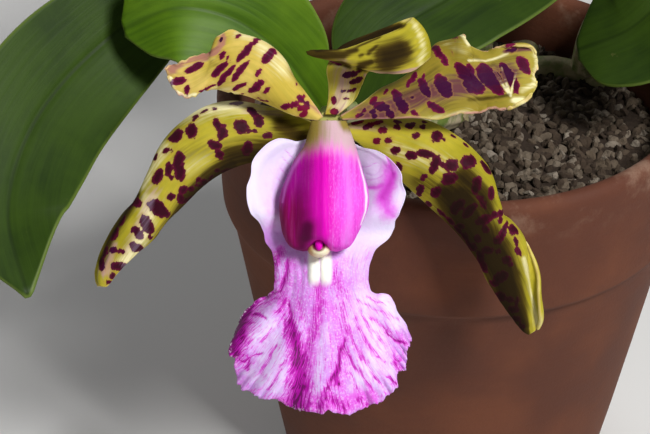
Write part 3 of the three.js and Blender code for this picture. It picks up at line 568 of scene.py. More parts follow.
BULB_FINISH = bulb_finish()
for name, line, radius in BULBS:
    t = np.linspace(0, 1, 70)
    radii = radius * value_through(BULB_SWELL, t) * (1 + 0.035 * np.exp(-(((t - 0.45) / 0.012) ** 2)))
    paths = [(through(line, t), radii)]
    mesh = grown_by(GROWN_STEM, stem_line(name + "_line", paths), {
        "Sides": 64, "Furrows": 9.0, "Furrow Depth": 0.00014, "Roughness": 0.0003, "Material": BULB_FINISH})
    bulb = show(name + "_flesh", mesh, None)
    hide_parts(name)

# ------------------------------ Leaves
# Two thick leathery blades on each pseudobulb, folded a little along a sunk midrib, with a blunt tip
# and a rounded, slightly paler margin. The upper face is glossy, the under face duller and lighter.
LEAF_THICKNESS = 1.7
BLUNT = [0.18, 0.4, 0.72, 0.9, 0.98, 1, 0.99, 0.93, 0.82, 0.62, 0.12]
SHARP = [0.18, 0.42, 0.8, 0.97, 1, 0.93, 0.68, 0.04]
# Each leaf: its half width and how far its margins lift, in millimetres, its outline, the way that its
# face looks, and its midrib.
LEAVES = [
    ("leaf_1_left", 13.5, 2.5, BLUNT, (-0.1, -0.75, 0.6),
     [(-29.6, -21, 107), (-39.7, -20.6, 122.3), (-50.6, -21.1, 130.7), (-61.7, -21.9, 133),
      (-73, -20.7, 127.6)]),
    ("leaf_1_right", 16, 3, BLUNT, (-0.2, -0.6, 0.75),
     [(-25, -18, 107), (-16.7, -8.4, 117.9), (-1.8, 3.2, 122.7), (15.2, 18.1, 125.1), (34.1, 38.2, 124.5)]),
    ("leaf_2_left", 15, 3, SHARP, (0.2, -0.8, 0.5),
     [(-43, 4.5, 126.5), (-64.4, -3.6, 126.3), (-80.9, -19.1, 120.8), (-91.9, -38.4, 113.2),
      (-94.8, -56.1, 104.2), (-89, -73.8, 95.3)]),
    ("leaf_2_right", 17, 3, BLUNT, (-0.3, 0.3, 0.9),
     [(-40.6, 8.4, 126.8), (-44, 20, 144), (-52, 36, 152), (-64, 52, 148), (-76, 64, 136)]),
    ("leaf_3_left", 17, 3, BLUNT, (-0.3, -0.6, 0.8),
     [(53, 16.4, 127), (52.3, 5.9, 133.6), (46.5, -1.2, 126.4), (39.2, -1.9, 118), (28.1, 2.5, 110.1)]),
    ("leaf_3_right", 17, 3, BLUNT, (0.2, 0, 1),
     [(56.4, 20.6, 127), (67, 32, 142), (78, 44, 147), (90, 52, 142), (100, 58, 130)]),
    ("leaf_4_left", 17, 3, BLUNT, (0, -0.5, 0.8),
     [(-11.4, 41.4, 130.4), (-22.5, 50.5, 148), (-26, 62, 163), (-34, 76, 168), (-42, 90, 162)]),
    ("leaf_4_right", 16, 3.5, BLUNT, (-0.4, -0.9, 0.3),
     [(-4.8, 41.8, 130.6), (6, 49, 149), (12, 58, 168), (24, 64, 180), (38, 68, 186)]),
]
LEAF_ROWS = 90
LEAF_COLUMNS = 40
LEAF_MARGIN = (0.15, 0.21, 0.035)
LEAF_UNDER_FACE = (0.085, 0.14, 0.035)
LEAF_SPOT = (0.2, 0.17, 0.06)


def unit(v):
    """Each vector of v, brought to length 1."""
    return v / np.linalg.norm(v, axis=-1, keepdims=True)


def across_steps(count):
    """Steps across a blade from -1 to 1, closer together near its two margins."""
    even = np.linspace(-1, 1, count + 1)
    return 0.55 * even + 0.45 * np.sin(even * np.pi / 2)


def thick_sheet(name, middle, half, marks, front_sign=1):
    """A closed mesh over a grid of middle points (rows, columns, 3) in millimetres. Each side stands
    half off it, and the margins are rounded. marks are named values for each grid point, and the
    mark "front" is 1 on the front face and 0 on the back."""
    rows, columns = middle.shape[:2]
    along = np.gradient(middle, axis=0)
    across = np.gradient(middle, axis=1)
    normal = unit(np.cross(across, along)) * front_sign
    half = np.broadcast_to(half, (rows, columns)).copy()
    wide_steps, long_steps = (np.linalg.norm(np.diff(middle, axis=k), axis=2) for k in (1, 0))
    left = np.concatenate([np.zeros((rows, 1)), np.cumsum(wide_steps, axis=1)], axis=1)
    long = np.concatenate([np.zeros((1, columns)), np.cumsum(long_steps, axis=0)])
    width = left[:, -1:]
    margin = np.minimum(np.minimum(left, width - left), long[-1:] - long)
    bevel = np.clip(margin / half, 0, 1)
    half *= np.sqrt(np.clip(1 - (1 - bevel) ** 2, 0.02, 1))
    points = np.concatenate([(middle + normal * half[..., None]).reshape(-1, 3),
                             (middle - normal * half[..., None]).reshape(-1, 3)])
    count = rows * columns
    at = np.arange(count).reshape(rows, columns)
    a, b, c, d = at[:-1, :-1], at[:-1, 1:], at[1:, 1:], at[1:, :-1]
    front = np.stack([a, b, c, d], axis=-1).reshape(-1, 4)
    back = np.stack([a, d, c, b], axis=-1).reshape(-1, 4) + count
    rim = np.concatenate([at[0, :-1], at[:-1, -1], at[-1, :0:-1], at[:0:-1, 0]])
    after = np.roll(rim, -1)
    side = np.stack([rim, rim + count, after + count, after], axis=-1)
    faces = np.concatenate([front, back, side])
    if front_sign < 0:
        faces = faces[:, ::-1]
    mesh = bpy.data.meshes.new(name)
    mesh.vertices.add(len(points))
    mesh.vertices.foreach_set("co", (points / 1000).astype(np.float32).ravel())
    mesh.loops.add(faces.size)
    mesh.loops.foreach_set("vertex_index", faces.astype(np.int32).ravel())
    mesh.polygons.add(len(faces))
    mesh.polygons.foreach_set("loop_start", np.arange(0, faces.size, 4, dtype=np.int32))
    mesh.polygons.foreach_set("use_smooth", np.ones(len(faces), dtype=bool))
    mesh.update(calc_edges=True)
    mesh.validate()
    marks = dict(marks, margin=margin)
    for key, value in marks.items():
        value = np.broadcast_to(value, (rows, columns)).ravel()
        both = np.concatenate([value, value]).astype(np.float32)
        mesh.attributes.new(key, "FLOAT", "POINT").data.foreach_set("value", both)
    facing = np.concatenate([np.ones(count), np.zeros(count)]).astype(np.float32)
    mesh.attributes.new("front", "FLOAT", "POINT").data.foreach_set("value", facing)
    flat = np.stack([(left - width / 2).ravel(), long.ravel()], axis=1)
    flat = np.concatenate([flat, flat]) / 10
    laid = mesh.uv_layers.new(name="blade")
    laid.data.foreach_set("uv", flat[faces.ravel()].astype(np.float32).ravel())
    return mesh


def mark(tree, name):
    """A value that was painted on the mesh, by its name."""
    return place(tree, "ShaderNodeAttribute", attribute_name=name).outputs["Fac"]


def vein_group():
    """Veins that run along a blade. UV is in centimetres, across and along."""
    tree, given = tree_named("long veins", "ShaderNodeTree", [
        ("Spacing", "Float", 12.0), ("Stretch", "Float", 0.12),
        ("Sharpness", "Float", 0.1)], ("Vein", "Float"))
    flat = place(tree, "ShaderNodeUVMap", uv_map="blade").outputs[0]
    parts = place(tree, "ShaderNodeSeparateXYZ", {"Vector": flat})
    low = times(tree, parts.outputs[1], given["Stretch"])
    squeezed = place(tree, "ShaderNodeCombineXYZ", {"X": parts.outputs[0], "Y": low}).outputs[0]
    streak = noise(tree, squeezed, given["Spacing"], 2.0, 0.5)
    high = plus(tree, given["Sharpness"], 0.5)
    low = minus(tree, 0.5, given["Sharpness"])
    place(tree, "NodeGroupOutput", {0: ramp(tree, streak, low, high)})
    return tree


LONG_VEINS = vein_group()


def leaf_finish(name, deep, fresh):
    material, tree, skin, where = finish_named(name, 0.55, Specular_IOR_Level=0.2)
    cloud = noise(tree, where, 55, 4)
    colour = mixed(tree, ramp(tree, cloud, 0.3, 0.7), deep, fresh)
    vein = place(tree, "ShaderNodeGroup", {"Spacing": 9.0, "Stretch": 0.05, "Sharpness": 0.16},
                 node_tree=LONG_VEINS).outputs[0]
    colour = mixed(tree, times(tree, vein, 0.25), colour, tuple(1.4 * c for c in fresh))
    rib = ramp(tree, mark(tree, "rib"), 0.5, 1.0)
    colour = mixed(tree, times(tree, rib, 0.5), colour, tuple(0.55 * c for c in deep))
    pale_edge = ramp(tree, mark(tree, "margin"), 0.7, 0.0)
    colour = mixed(tree, times(tree, pale_edge, 0.6), colour, LEAF_MARGIN)
    under = minus(tree, 1.0, mark(tree, "front"))
    colour = mixed(tree, times(tree, under, 0.6), colour, LEAF_UNDER_FACE)
    pores = noise(tree, where, 1400, 2)
    spots = ramp(tree, noise(tree, where, 330, 3, 0.6), 0.7, 0.78)
    colour = mixed(tree, times(tree, spots, 0.35), colour, LEAF_SPOT)
    tree.links.new(colour, skin.inputs["Base Color"])
    tree.links.new(ramp(tree, under, 0, 1, 0.5, 0.65), skin.inputs["Roughness"])
    grain = plus(tree, times(tree, vein, 0.6), times(tree, pores, 0.35))
    relief(tree, skin, grain, 0.00008, 0.35)
    return material


# Two copies of one leaf finish: the darker one is painted shade, for every leaf but the first on the left.
LEAF_IN_PAINTED_SHADE = leaf_finish("leaf in painted shade", (0.012, 0.029, 0.002), (0.027, 0.056, 0.003))
LEAF_FRESH = leaf_finish("fresh leaf", (0.04, 0.095, 0.002), (0.085, 0.165, 0.004))
for name, half, lift, width, face, midrib in LEAVES:
    t = np.linspace(0, 1, LEAF_ROWS + 1)
    s = across_steps(LEAF_COLUMNS)
    line = through(midrib, t)
    tangent = unit(through(midrib, np.minimum(1, t + 1e-3)) - through(midrib, np.maximum(0, t - 1e-3)))
    across = unit(np.cross(tangent, unit(np.array(face, float))))
    normal = np.cross(across, tangent)
    reach = half * value_through(width, t)[:, None]
    # The midrib is sunk, but not at its two ends, and the margins sway a little.
    groove = 0.45 * np.exp(-((s * reach / 0.9) ** 2)) * np.sin(np.pi * np.minimum(1, t * 1.05))[:, None]
    sway = 0.35 * np.sin(7 * t + len(name))[:, None] * s[None, :] ** 3
    raised = lift * np.sqrt(s**2 + 0.02) * reach / half - groove + sway
    middle = line[:, None] + across[:, None] * (reach * s)[..., None] + normal[:, None] * raised[..., None]
    body = LEAF_THICKNESS / 2 * (1 - 0.45 * s**2)
    rib = np.exp(-((s * reach) ** 2))
    skin = LEAF_FRESH if name == "leaf_1_left" else LEAF_IN_PAINTED_SHADE
    blade = show(name + "_blade", thick_sheet(name, middle, body, {"rib": rib}), skin)
    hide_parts(name)

# ------------------------------ Flower stalk
# A short green stalk that grows from the top of the first pseudobulb. Its last part is the ovary,
# ribbed along, a little thicker, and freckled like the sepals.
STALK_LINE = [
    (-28, -21, 107.2), (-28.7, -30, 112.4), (-29.1, -41, 118.2), (-29.2, -51.4, 122.8), (-29.2, -53.6, 124.1)]
STALK_RADIUS = [1.7, 1.6, 2.2, 2.3, 2]
STALK_DEEP, STALK_LIGHT = (0.16, 0.2, 0.035), (0.36, 0.36, 0.075)
FRECKLE = (0.12, 0.022, 0.04)


def stalk_finish():
    material, tree, skin, where = finish_named("flower stalk", 0.45)
    cloud = noise(tree, where, 150, 3)
    colour = mixed(tree, ramp(tree, cloud, 0.35, 0.7), STALK_DEEP, STALK_LIGHT)
    freckle = ramp(tree, noise(tree, where, 520, 2), 0.6, 0.66)
    colour = mixed(tree, times(tree, freckle, 0.8), colour, FRECKLE)
    tree.links.new(colour, skin.inputs["Base Color"])
    relief(tree, skin, noise(tree, where, 800, 3), 0.0001, 0.6)
    return material


t = np.linspace(0, 1, 60)
stalk_paths = [(through(STALK_LINE, t), value_through(STALK_RADIUS, t))]
stalk_mesh = grown_by(GROWN_STEM, stem_line("stalk_line", stalk_paths), {
    "Sides": 36, "Furrows": 6.0, "Furrow Depth": 0.00016, "Roughness": 0.00015, "Material": stalk_finish()})
stalk = show("bloom_stalk", stalk_mesh, None)
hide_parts("flower_stalk")

# ------------------------------ Sepals and petals
# Five waxy tepals round the column: a top sepal folded forward over itself, two arched side sepals
# and two waved petals. Olive yellow, with maroon blotches that are set into the skin.
BLOOM_BASE = np.array([-30.0, -53.0, 124.0])
BLOOM_TURN = math.radians(90 - LOOKING_DOWN)
# Each tepal's margins, from its claw to its tip, are knots on the bloom's face: right, up and out of it, in
# millimetres. crown is how far its middle swells, crest where that is highest, ruffle the height, count and
# shift of its waves, relief a net of low hollows and swellings, and rolls where its margins curl over: the
# side, where they begin and end, their size and their turn. spread widens its blotches.
TEPALS = {
    "dorsal_sepal": dict(
        left=[(0, 1, 1.3), (0.6, 3.9, 1), (0.7, 7.1, 1.5), (0.4, 10.4, 2.5), (2.6, 14.1, 3),
              (10.5, 17.6, 3.5), (16.9, 19.7, 6), (13.8, 17, 9), (8.3, 14.7, 10.5), (3.5, 13, 10.5),
              (-1, 13, 10), (-3.7, 12.8, 9.5)],
        right=[(2.6, 1, 1.3), (6, 4.1, 1), (7.4, 7.1, 1.5), (8.9, 9.8, 2.5), (14.9, 9.9, 3),
               (19.2, 10.7, 3.5), (20.4, 11.9, 6), (16.8, 9, 9), (11.1, 8.6, 10.5), (5.2, 10.2, 10.5),
               (0.2, 11.4, 10), (-3.4, 12.4, 9.5)],
        spread=0, crown=[0.2, 0.6, 0.9, 1, 0.6, -0.6, -1.2, -1.8, -2, -1.4, -0.7, -0.1],
        crest=[0, 0], ruffle=(0, 0, 0), rows=170, columns=80, thickness=0.9),
    "petal_left": dict(
        left=[(-1.6, -0.2, 1.25), (-5.8, 0.6, 1.5), (-9.7, 2, 2.5), (-13.3, 3.3, 3.3), (-16, 4.3, 3.5),
              (-18.8, 5.1, 3.5), (-21.2, 5.6, 3.3), (-22.6, 5.7, 3.1), (-24.3, 5.6, 2.8),
              (-26.8, 4.4, 2.3), (-29.2, 4.9, 1.8), (-31.2, 8.5, 1.4)],
        right=[(-0.4, 0.6, 1.25), (-3.2, 4.7, 1.5), (-5.4, 8.3, 1), (-7.6, 12.8, 0), (-11, 16.1, -0.8),
               (-15.5, 18, -1), (-19, 18.1, -0.4), (-21.2, 16.4, 0.2), (-22.5, 13.6, 0.6),
               (-25.7, 12.6, 0.8), (-28.7, 11.6, 0.9), (-31.9, 10.1, 1)],
        spread=-0.09, crown=[0.1, 0.6, 1.4, 2.2, 2.4, 2.2, 1.6, 1.1, 0.8, 0.6, 0.4, 0.1],
        crest=[0, 0], ruffle=(0.7, 3, 0.4), frill=0.7, rows=180, columns=100, thickness=0.8,
        relief=[[0, 0, 0, 0, 0, 0], [-0.5, 0, 0.3, 0.2, 0, -0.6], [-1.6, -0.2, 0.2, -0.2, 0.3, -1.8],
                [-2.2, -0.3, 0, -0.4, 0.6, -1.6], [-1.5, -0.2, -0.3, -0.4, 0.2, 0],
                [-0.7, -0.2, -0.4, -0.4, 0.1, 0.2], [-0.2, -0.2, -0.4, -0.2, 0.2, 0.3],
                [0, 0, -0.2, 0, 0.1, 0.2]]),
    "petal_right": dict(
        left=[(3, 0.8, 1.25), (7.4, 3.4, 1), (11, 6.1, 0), (14.6, 8.1, -1), (17.9, 10.7, -1.5),
              (20.7, 14.4, -2), (22.5, 16.5, -2), (25.1, 17.3, -1.2), (27.5, 17.2, 0.8),
              (28.5, 14.5, 1), (30.9, 13, 0.5), (34.3, 13.4, 1), (37.4, 14, 1.5), (40.2, 14.1, 2),
              (41.7, 12.2, 2), (42.2, 10, 2)],
        right=[(3.4, -0.1, 1.25), (9.2, 0.3, 1.2), (12.9, 0.4, 1.5), (16.1, 0.3, 2), (19.1, 0.2, 2.5),
               (21.6, 0.2, 3), (24.2, 0.6, 3.2), (26.5, 0.9, 3.2), (28.9, 1.2, 3), (30.7, 1.5, 3),
               (32.5, 2.3, 3), (34.5, 1.9, 3), (36.3, 2.7, 3), (38.5, 4, 3), (40.5, 5.8, 2.5),
               (41.7, 7.6, 2.2)],
        spread=0.04, crown=[0.1, 0.6, 1.2, 1.8, 2.2, 2.4, 2.4, 2.2, 1.8, 1.6, 1.6, 1.6, 1.6, 1.4, 0.8, 0.3],
        crest=[0, 0], ruffle=(0.5, 4, 0.3), frill=0.6, rows=200, columns=100, thickness=0.8,
        relief=[[0, 0, 0, 0, 0, 0], [0, 0.1, 0, -0.3, 0, 0.3], [-0.4, 0, -0.5, -0.8, -0.2, 0.6],
                [-1, 0.2, -0.6, -1.2, -0.4, 0.9], [-1.4, 0.5, -0.6, -1.4, -0.6, 0.9],
                [0.8, 0.4, -0.9, -1.5, -0.7, 1], [1.2, -0.3, -1.2, -1.2, -0.4, 1.3],
                [0.6, -0.5, -1.2, -1, 0, 1.2], [0, -0.3, -0.6, -0.5, 0, 0.4]],
        rolls=[(-1, 0.7, 0.97, 0.9, 200), (1, 0.74, 0.99, 0.9, 190)]),
    "lateral_sepal_left": dict(
        left=[(-1.6, -1.9, -2), (-6.7, -5.9, -4), (-11.1, -7.9, -4), (-15.5, -8.9, -3.5),
              (-20, -10.7, -3), (-23.6, -13, -3), (-26.4, -15.4, -3.5), (-28.9, -17.8, -4),
              (-31.8, -20.4, -4.5), (-34.5, -23.9, -5.5), (-38.7, -27.3, -6.5), (-42.2, -30.8, -7),
              (-44.5, -33.7, -7.5)],
        right=[(-1.5, -0.7, -2), (-7.1, 1.8, -4), (-12.7, 3.6, -4), (-18.8, 4.7, -4), (-24.3, 3.6, -4),
               (-29.8, 0.2, -4.5), (-34, -4.2, -5), (-36.1, -8.8, -5.5), (-38.2, -13.7, -7.5),
               (-42.5, -18.8, -9.5), (-45.9, -25.6, -10.5), (-47.2, -31.3, -9.5), (-46.6, -33.5, -8.2)],
        spread=0.03, crown=[0, 0.6, 1.6, 2.4, 2.8, 3, 3, 2.8, 2.8, 2.8, 2.4, 1.6, 0.3],
        crest=[0, 0, 0, 0, 0, 0.1, 0.3, 0.5, 0.5, 0.2, 0.1, 0, 0],
        ruffle=(0.4, 2, 0.5), rows=200, columns=100, thickness=0.9,
        relief=[[0, 0, 0, 0, 0, 0], [-0.5, 0.1, 0.3, 0.3, 0, -0.6], [-1, 0.2, 0.6, 0.6, 0, -1.2],
                [-1.2, 0.2, 0.7, 0.8, 0.3, -1.4], [-1.2, 0.2, 0.8, 0.9, 0.3, -1.4],
                [-1, 0.3, 0.7, 0.8, -0.2, -1.6], [-0.8, 0.4, 0.6, 0.6, -1, -1],
                [-0.5, 0.3, 0.5, 0.2, -1, -0.2], [0, 0, 0.2, 0, -0.3, 0]]),
    "lateral_sepal_right": dict(
        left=[(3.1, -0.8, -2), (9.5, 0.6, -4), (14.8, 0.8, -4), (20.8, 0.6, -4), (26.7, -2.2, -4),
              (31.3, -6.1, -4), (34, -9.7, -4.5), (34.5, -13.7, -4.5), (35.4, -17.4, -4.5),
              (38, -19.8, -4.5), (40.3, -23.5, -5), (40.7, -27.7, -5), (41.5, -33.2, -5),
              (42.8, -38.7, -5.5), (42.9, -42, -6)],
        right=[(3.2, -2, -2), (7.5, -5.1, -4), (12.1, -9.5, -4), (16.1, -13.3, -3.5), (20.2, -17.2, -3),
               (23.8, -20.6, -2.5), (26.7, -23.6, -2), (28.9, -26.4, -2), (30.8, -29.1, -2.5),
               (32.2, -31.9, -3), (33.7, -34.3, -3.5), (35.4, -36.8, -4), (37.3, -39.3, -5),
               (39.2, -41.7, -5.5), (41.3, -43.4, -6)],
        spread=0.05, crown=[0, 0.6, 1.6, 2.4, 3, 3.2, 3.4, 3.4, 3.2, 3, 2.8, 2.4, 1.8, 1.1, 0.2],
        crest=[0, 0, -0.1, -0.2, -0.3, -0.4, -0.5, -0.4, 0],
        ruffle=(0.4, 3, 0.5), rows=200, columns=100, thickness=0.9,
        relief=[[0, 0, 0, 0, 0, 0], [-0.5, 0.1, 0.3, 0.2, 0, -0.6], [-1, 0.3, 0.6, 0.5, 0, -1.2],
                [-1.2, 0.4, 0.8, 0.6, 0, -1.4], [-1.2, 0.5, 0.9, 0.6, 0, -1.4],
                [-0.8, 0.5, 0.8, 0.5, 0, -1.3], [-0.2, 0.2, 0.5, 0.4, 0, -1],
                [0.2, 0, 0.3, 0.2, 0, -0.6], [0.2, 0, 0.1, 0, 0, -0.2]],
        rolls=[(-1, 0.7, 1.04, 2.4, 205)]),
}


# Each blotch as it shows from the front: how far right and up from the bloom's base it is, its length and
# its width, in millimetres on the bloom's face, and its turn from level in degrees.
BLOTCHES = {
    "dorsal_sepal": [
        (5, 9.2, 3.2, 1.2, 10), (6.5, 9.5, 1.6, 0.6, 35), (6.3, 7.8, 2.8, 1.2, 25), (5.3, 6.1, 2, 0.6, 25),
        (3.7, 5.9, 1, 0.5, 10), (4.2, 4.4, 1.2, 0.4, 0), (1.8, 4, 1.6, 1.2, 80), (1.8, 1.7, 1.8, 1.2, 0),
        (2.2, 11.5, 2.8, 0.8, -25),
    ],
    "petal_left": [
        (-16, 13.6, 5, 1.6, 48), (-13.6, 15.6, 2.4, 1, 42), (-11.3, 12.8, 3.6, 1.8, 50),
        (-10, 13.2, 0.8, 0.6, 0), (-17.3, 16.4, 1.2, 0.8, 20), (-20.6, 13, 2.1, 1.2, 60),
        (-19.4, 12.4, 1.2, 0.4, 70), (-18.9, 11.7, 0.8, 0.4, 60), (-21, 10.1, 4.6, 1.6, 42),
        (-19.8, 9, 5.4, 1.3, 45), (-16.9, 9.8, 5.2, 1.4, 47), (-13.2, 9.5, 2, 1, 50),
        (-13.6, 6.8, 3.8, 1.7, 38), (-11.6, 6.1, 2, 0.9, 35), (-17.3, 6.9, 3.6, 1, 20),
        (-26.1, 10.4, 4.4, 1.3, 25), (-29.2, 7.8, 3, 2.1, 15), (-27.5, 5.9, 2.2, 1.2, 80),
        (-23.6, 6.6, 4, 0.7, 20), (-16.4, 5.2, 1.2, 0.4, 15), (-13.1, 4.2, 1, 0.4, 10),
        (-12.1, 3.6, 2.2, 0.6, -5), (-7.8, 2.9, 2.3, 1.3, 15), (-6.2, 3.2, 2.1, 1.4, 25),
        (-5, 4.2, 2, 1.5, -40), (-3.9, 2.7, 2.2, 1.6, 70), (-5, 2.4, 1.6, 1.2, 0),
        (-4.3, 1.4, 2.1, 1.4, 50), (-5.4, 0.6, 1, 0.6, 0), (-5.8, 7, 0.6, 0.4, 80),
        (-4.3, 4.7, 0.8, 0.4, -50), (-20.7, 16.1, 1, 0.6, 70),
    ],
    "petal_right": [
        (27.3, 9.8, 4.4, 2, -55), (29.3, 10.2, 3.2, 1.4, -65), (29.8, 6.8, 5, 3, -35),
        (29, 8.8, 8.5, 2.5, -45), (32.4, 9.6, 4.8, 2.4, -52), (33.8, 6.4, 4.4, 1.8, -42),
        (34.6, 8.7, 3.6, 1.1, -60), (33, 8, 7.9, 2.3, -48), (36.9, 8.6, 7.6, 2.3, -60),
        (40.1, 11.1, 4.8, 2.3, -50), (37.2, 13.8, 2, 0.6, 15), (41.5, 9.5, 0.6, 0.4, 0),
        (38.1, 6.1, 2.8, 1.1, 40), (35.7, 6.1, 2, 0.7, -50), (23.5, 7, 5.8, 2.9, -62),
        (19.7, 6.7, 4.5, 1.7, -62), (22.5, 13.8, 3, 1.6, -50), (23.8, 12.3, 2.2, 1.2, -60),
        (25.4, 16.7, 1.2, 0.9, 0), (24.6, 15.5, 1, 0.5, -60), (26.2, 15.8, 1.2, 0.4, 70),
        (25.5, 13.7, 1, 0.5, -70), (22.3, 2.3, 4.4, 1.5, -28), (18, 1.3, 1.8, 0.8, -25),
        (17.3, 4.6, 0.6, 0.4, 0), (14.3, 4.7, 3, 1.8, -70), (15.5, 2.7, 3, 2, -60),
        (11.3, 2.7, 3.2, 1.7, -15), (9.7, 3.8, 1.8, 1, 45), (13, 1.3, 1.8, 1.2, -40), (9.6, 1.7, 1.2, 1, 0),
        (9.9, 0.8, 1.2, 0.7, 0), (12.2, 5.7, 1.2, 0.6, 40), (16.6, 7.5, 1.6, 0.6, 60),
        (17.7, 8.7, 2.2, 0.7, 55), (19.3, 8.7, 1.8, 0.6, 70), (6.9, 1, 1.6, 0.8, 20),
        (7.9, 1.9, 0.8, 0.5, 40),
    ],
    "lateral_sepal_left": [
        (-29.4, -3.3, 3, 2.1, 55), (-30.6, -3.9, 1.2, 1, 0), (-26.4, -2.5, 2.8, 2.2, 80),
        (-21.4, -1.2, 2.6, 1.4, -70), (-20.6, -2.8, 2.6, 1.8, 70), (-20.3, -1.4, 1, 0.6, 0),
        (-16.8, -1.5, 3, 2.5, -30), (-15.6, -2.2, 1.2, 1, 0), (-13.4, -0.3, 2.6, 2.1, 90),
        (-14.6, 1.4, 2.8, 1.4, -50), (-11.6, -3, 1.8, 1.4, 0), (-15.5, -5.5, 2.8, 2, 80),
        (-16.4, -5.9, 1, 0.8, 0), (-22, -4.9, 2.6, 1.8, -15), (-21.2, -6.6, 2.4, 1.6, -60),
        (-14.2, -2.2, 0.8, 0.6, 0), (-31.4, -6.4, 1.4, 0.9, 40), (-30.2, -6.5, 0.8, 0.4, 60),
        (-33.6, -7.6, 1.4, 0.9, 60), (-31, -9.8, 2.8, 1.4, 75), (-30.6, -11.2, 1, 0.6, 90),
        (-29, -8, 3.4, 2, 75), (-29, -10.1, 3.6, 2, 90), (-28.8, -11.6, 1, 0.8, 90),
        (-33, -11.2, 3.2, 1.6, 62), (-21.6, -10.1, 1.2, 0.9, -40), (-19.4, -10.4, 2.8, 0.8, 5),
        (-25.4, -11.8, 1.4, 1, 0), (-24, -12.6, 2.2, 1.4, -40), (-25.2, -13.2, 1.4, 0.8, 0),
        (-22.8, -11.8, 1.6, 0.6, 60), (-23.2, -12.9, 1.6, 0.6, 60), (-28.5, -13.8, 2, 1.6, 60),
        (-26.9, -13.7, 1.4, 1.2, 0), (-30.8, -15.1, 1.6, 1.4, 0), (-29, -15.5, 2.4, 1.4, -80),
        (-27.8, -16, 2.4, 0.8, 30), (-33.2, -17.4, 4, 2.8, -60), (-34.2, -16.6, 2, 1.2, 0),
        (-32, -18, 3, 1.4, -70), (-35.6, -20.6, 4, 2.2, -70), (-35.1, -23.2, 1.2, 0.8, -70),
        (-37.4, -22.2, 2.4, 1.6, -45), (-37.1, -23.2, 1.2, 0.8, 0), (-37.7, -25.3, 2.8, 1.8, -35),
        (-40.5, -26.1, 1, 1, 0), (-41.2, -29.2, 3, 1.8, 0), (-42.6, -31, 1.4, 0.9, 60),
        (-43.3, -32.2, 1, 0.8, 0), (-37.2, -16.6, 2, 1.4, 45), (-38.8, -17.2, 2, 0.8, 45),
        (-40.2, -20.2, 2.4, 0.8, 58), (-41.7, -22.8, 2.8, 1, 62), (-41.9, -25.9, 1.4, 1.2, 0),
        (-43.6, -26.4, 2.4, 0.8, 72), (-44.4, -28.8, 2.4, 1, 80), (-25.8, 0.4, 1.6, 1, 60),
        (-24.2, 1.8, 1.6, 0.6, 25), (-22.1, 2.2, 0.8, 0.8, 0), (-17.6, 3.7, 2.8, 1, 5),
    ],
    "lateral_sepal_right": [
        (6.5, -0.5, 2.4, 0.9, 12), (8.7, -1.3, 2.6, 1, 15), (10.7, -0.7, 1.6, 0.8, 10),
        (14.4, -0.3, 1.6, 0.8, -10), (17, -1.2, 2.2, 1.2, 20), (14.4, -1.7, 1.4, 1, 0),
        (11.6, -2.2, 1.8, 1.2, 5), (19.6, -1.5, 1, 1, 0), (19.7, -0.2, 1, 0.8, 0), (18.2, -3.4, 1.4, 1, 25),
        (22.3, -3.3, 2.4, 2, 75), (23.7, -4.1, 0.7, 0.6, 0), (25.7, -3.1, 1.2, 0.8, -20),
        (28.3, -4.8, 1.2, 0.8, -45), (10.5, -4.2, 1.6, 1.1, -5), (12.8, -4.1, 1.5, 1, 0),
        (14.3, -6, 2, 1.4, 20), (15, -9.3, 1.8, 1.2, -70), (17.3, -7, 2.2, 1.6, -10),
        (20.2, -6.8, 3.6, 1.5, -12), (22.2, -8.6, 3, 1.8, 70), (21.6, -9.9, 2, 1.2, 45),
        (19.9, -11.4, 1.8, 1, 45), (23.4, -9, 1, 1, 0), (18.9, -13.9, 2.8, 1.5, 68),
        (22.3, -14.2, 2.6, 1.8, 50), (25.2, -9.2, 2.6, 2.2, 0), (25, -11.6, 3, 2.4, 20),
        (28.5, -8.6, 3, 2.6, 40), (32.2, -9.5, 3.4, 1.6, -58), (30.1, -13.1, 3.4, 1.7, 80),
        (32.8, -14.8, 2.4, 1, -85), (20.6, -16.9, 1.4, 1.2, 0), (26.6, -17.2, 3.6, 2, 50),
        (29, -18, 3.4, 1.8, 50), (31.4, -16.6, 2.8, 0.9, -65), (30.8, -15.6, 1.2, 0.8, 0),
        (31.8, -19.8, 2.4, 1.8, 40), (30.7, -20.2, 1.2, 1, 0), (33.9, -18.9, 2, 1.2, 10),
        (35, -18.4, 1, 0.6, -45), (34.3, -20, 1.4, 0.5, -75), (35.2, -22.6, 3, 1.4, 75),
        (34.4, -23.8, 1.8, 1.4, 10), (35.8, -21.4, 2, 0.6, 80), (37.4, -22, 2.2, 1.6, -35),
        (37.8, -24.4, 1.6, 0.8, -70), (38.3, -26.2, 2.2, 0.8, -65), (32.1, -21.7, 1.4, 1.2, 0),
        (30.6, -23.6, 1.4, 1.4, 0), (27.2, -21.2, 1.8, 1.2, 10), (29.6, -25.4, 1.8, 1.7, 0),
        (27.8, -23.4, 2, 1.4, -50), (32.6, -25.8, 2, 1.4, 0), (34.5, -26, 1, 1, 0),
        (36.2, -27.7, 1.6, 1.6, 0), (36.9, -28.6, 1, 0.8, 0), (31.2, -27.6, 3.2, 1.4, -75),
        (31.9, -29.4, 2.8, 1.5, -70), (35.2, -31.2, 3, 2.2, 30), (34, -32.6, 1.8, 1.4, 0),
        (35.2, -35.2, 2.2, 1.8, -30), (37, -35.7, 1.6, 1.2, 0), (37.8, -37.6, 2, 1.4, 0),
        (38.4, -36, 1.6, 0.7, 80), (38.5, -39.7, 1.6, 1.2, 0), (39.3, -41.1, 1.4, 0.8, -60),
        (23.1, -18.8, 2.4, 1, -45), (24.8, -20.4, 2, 1.1, -45), (26.3, -22.1, 2.4, 1.1, -45),
        (28.6, -24.8, 2, 1.1, -50),
    ],
}
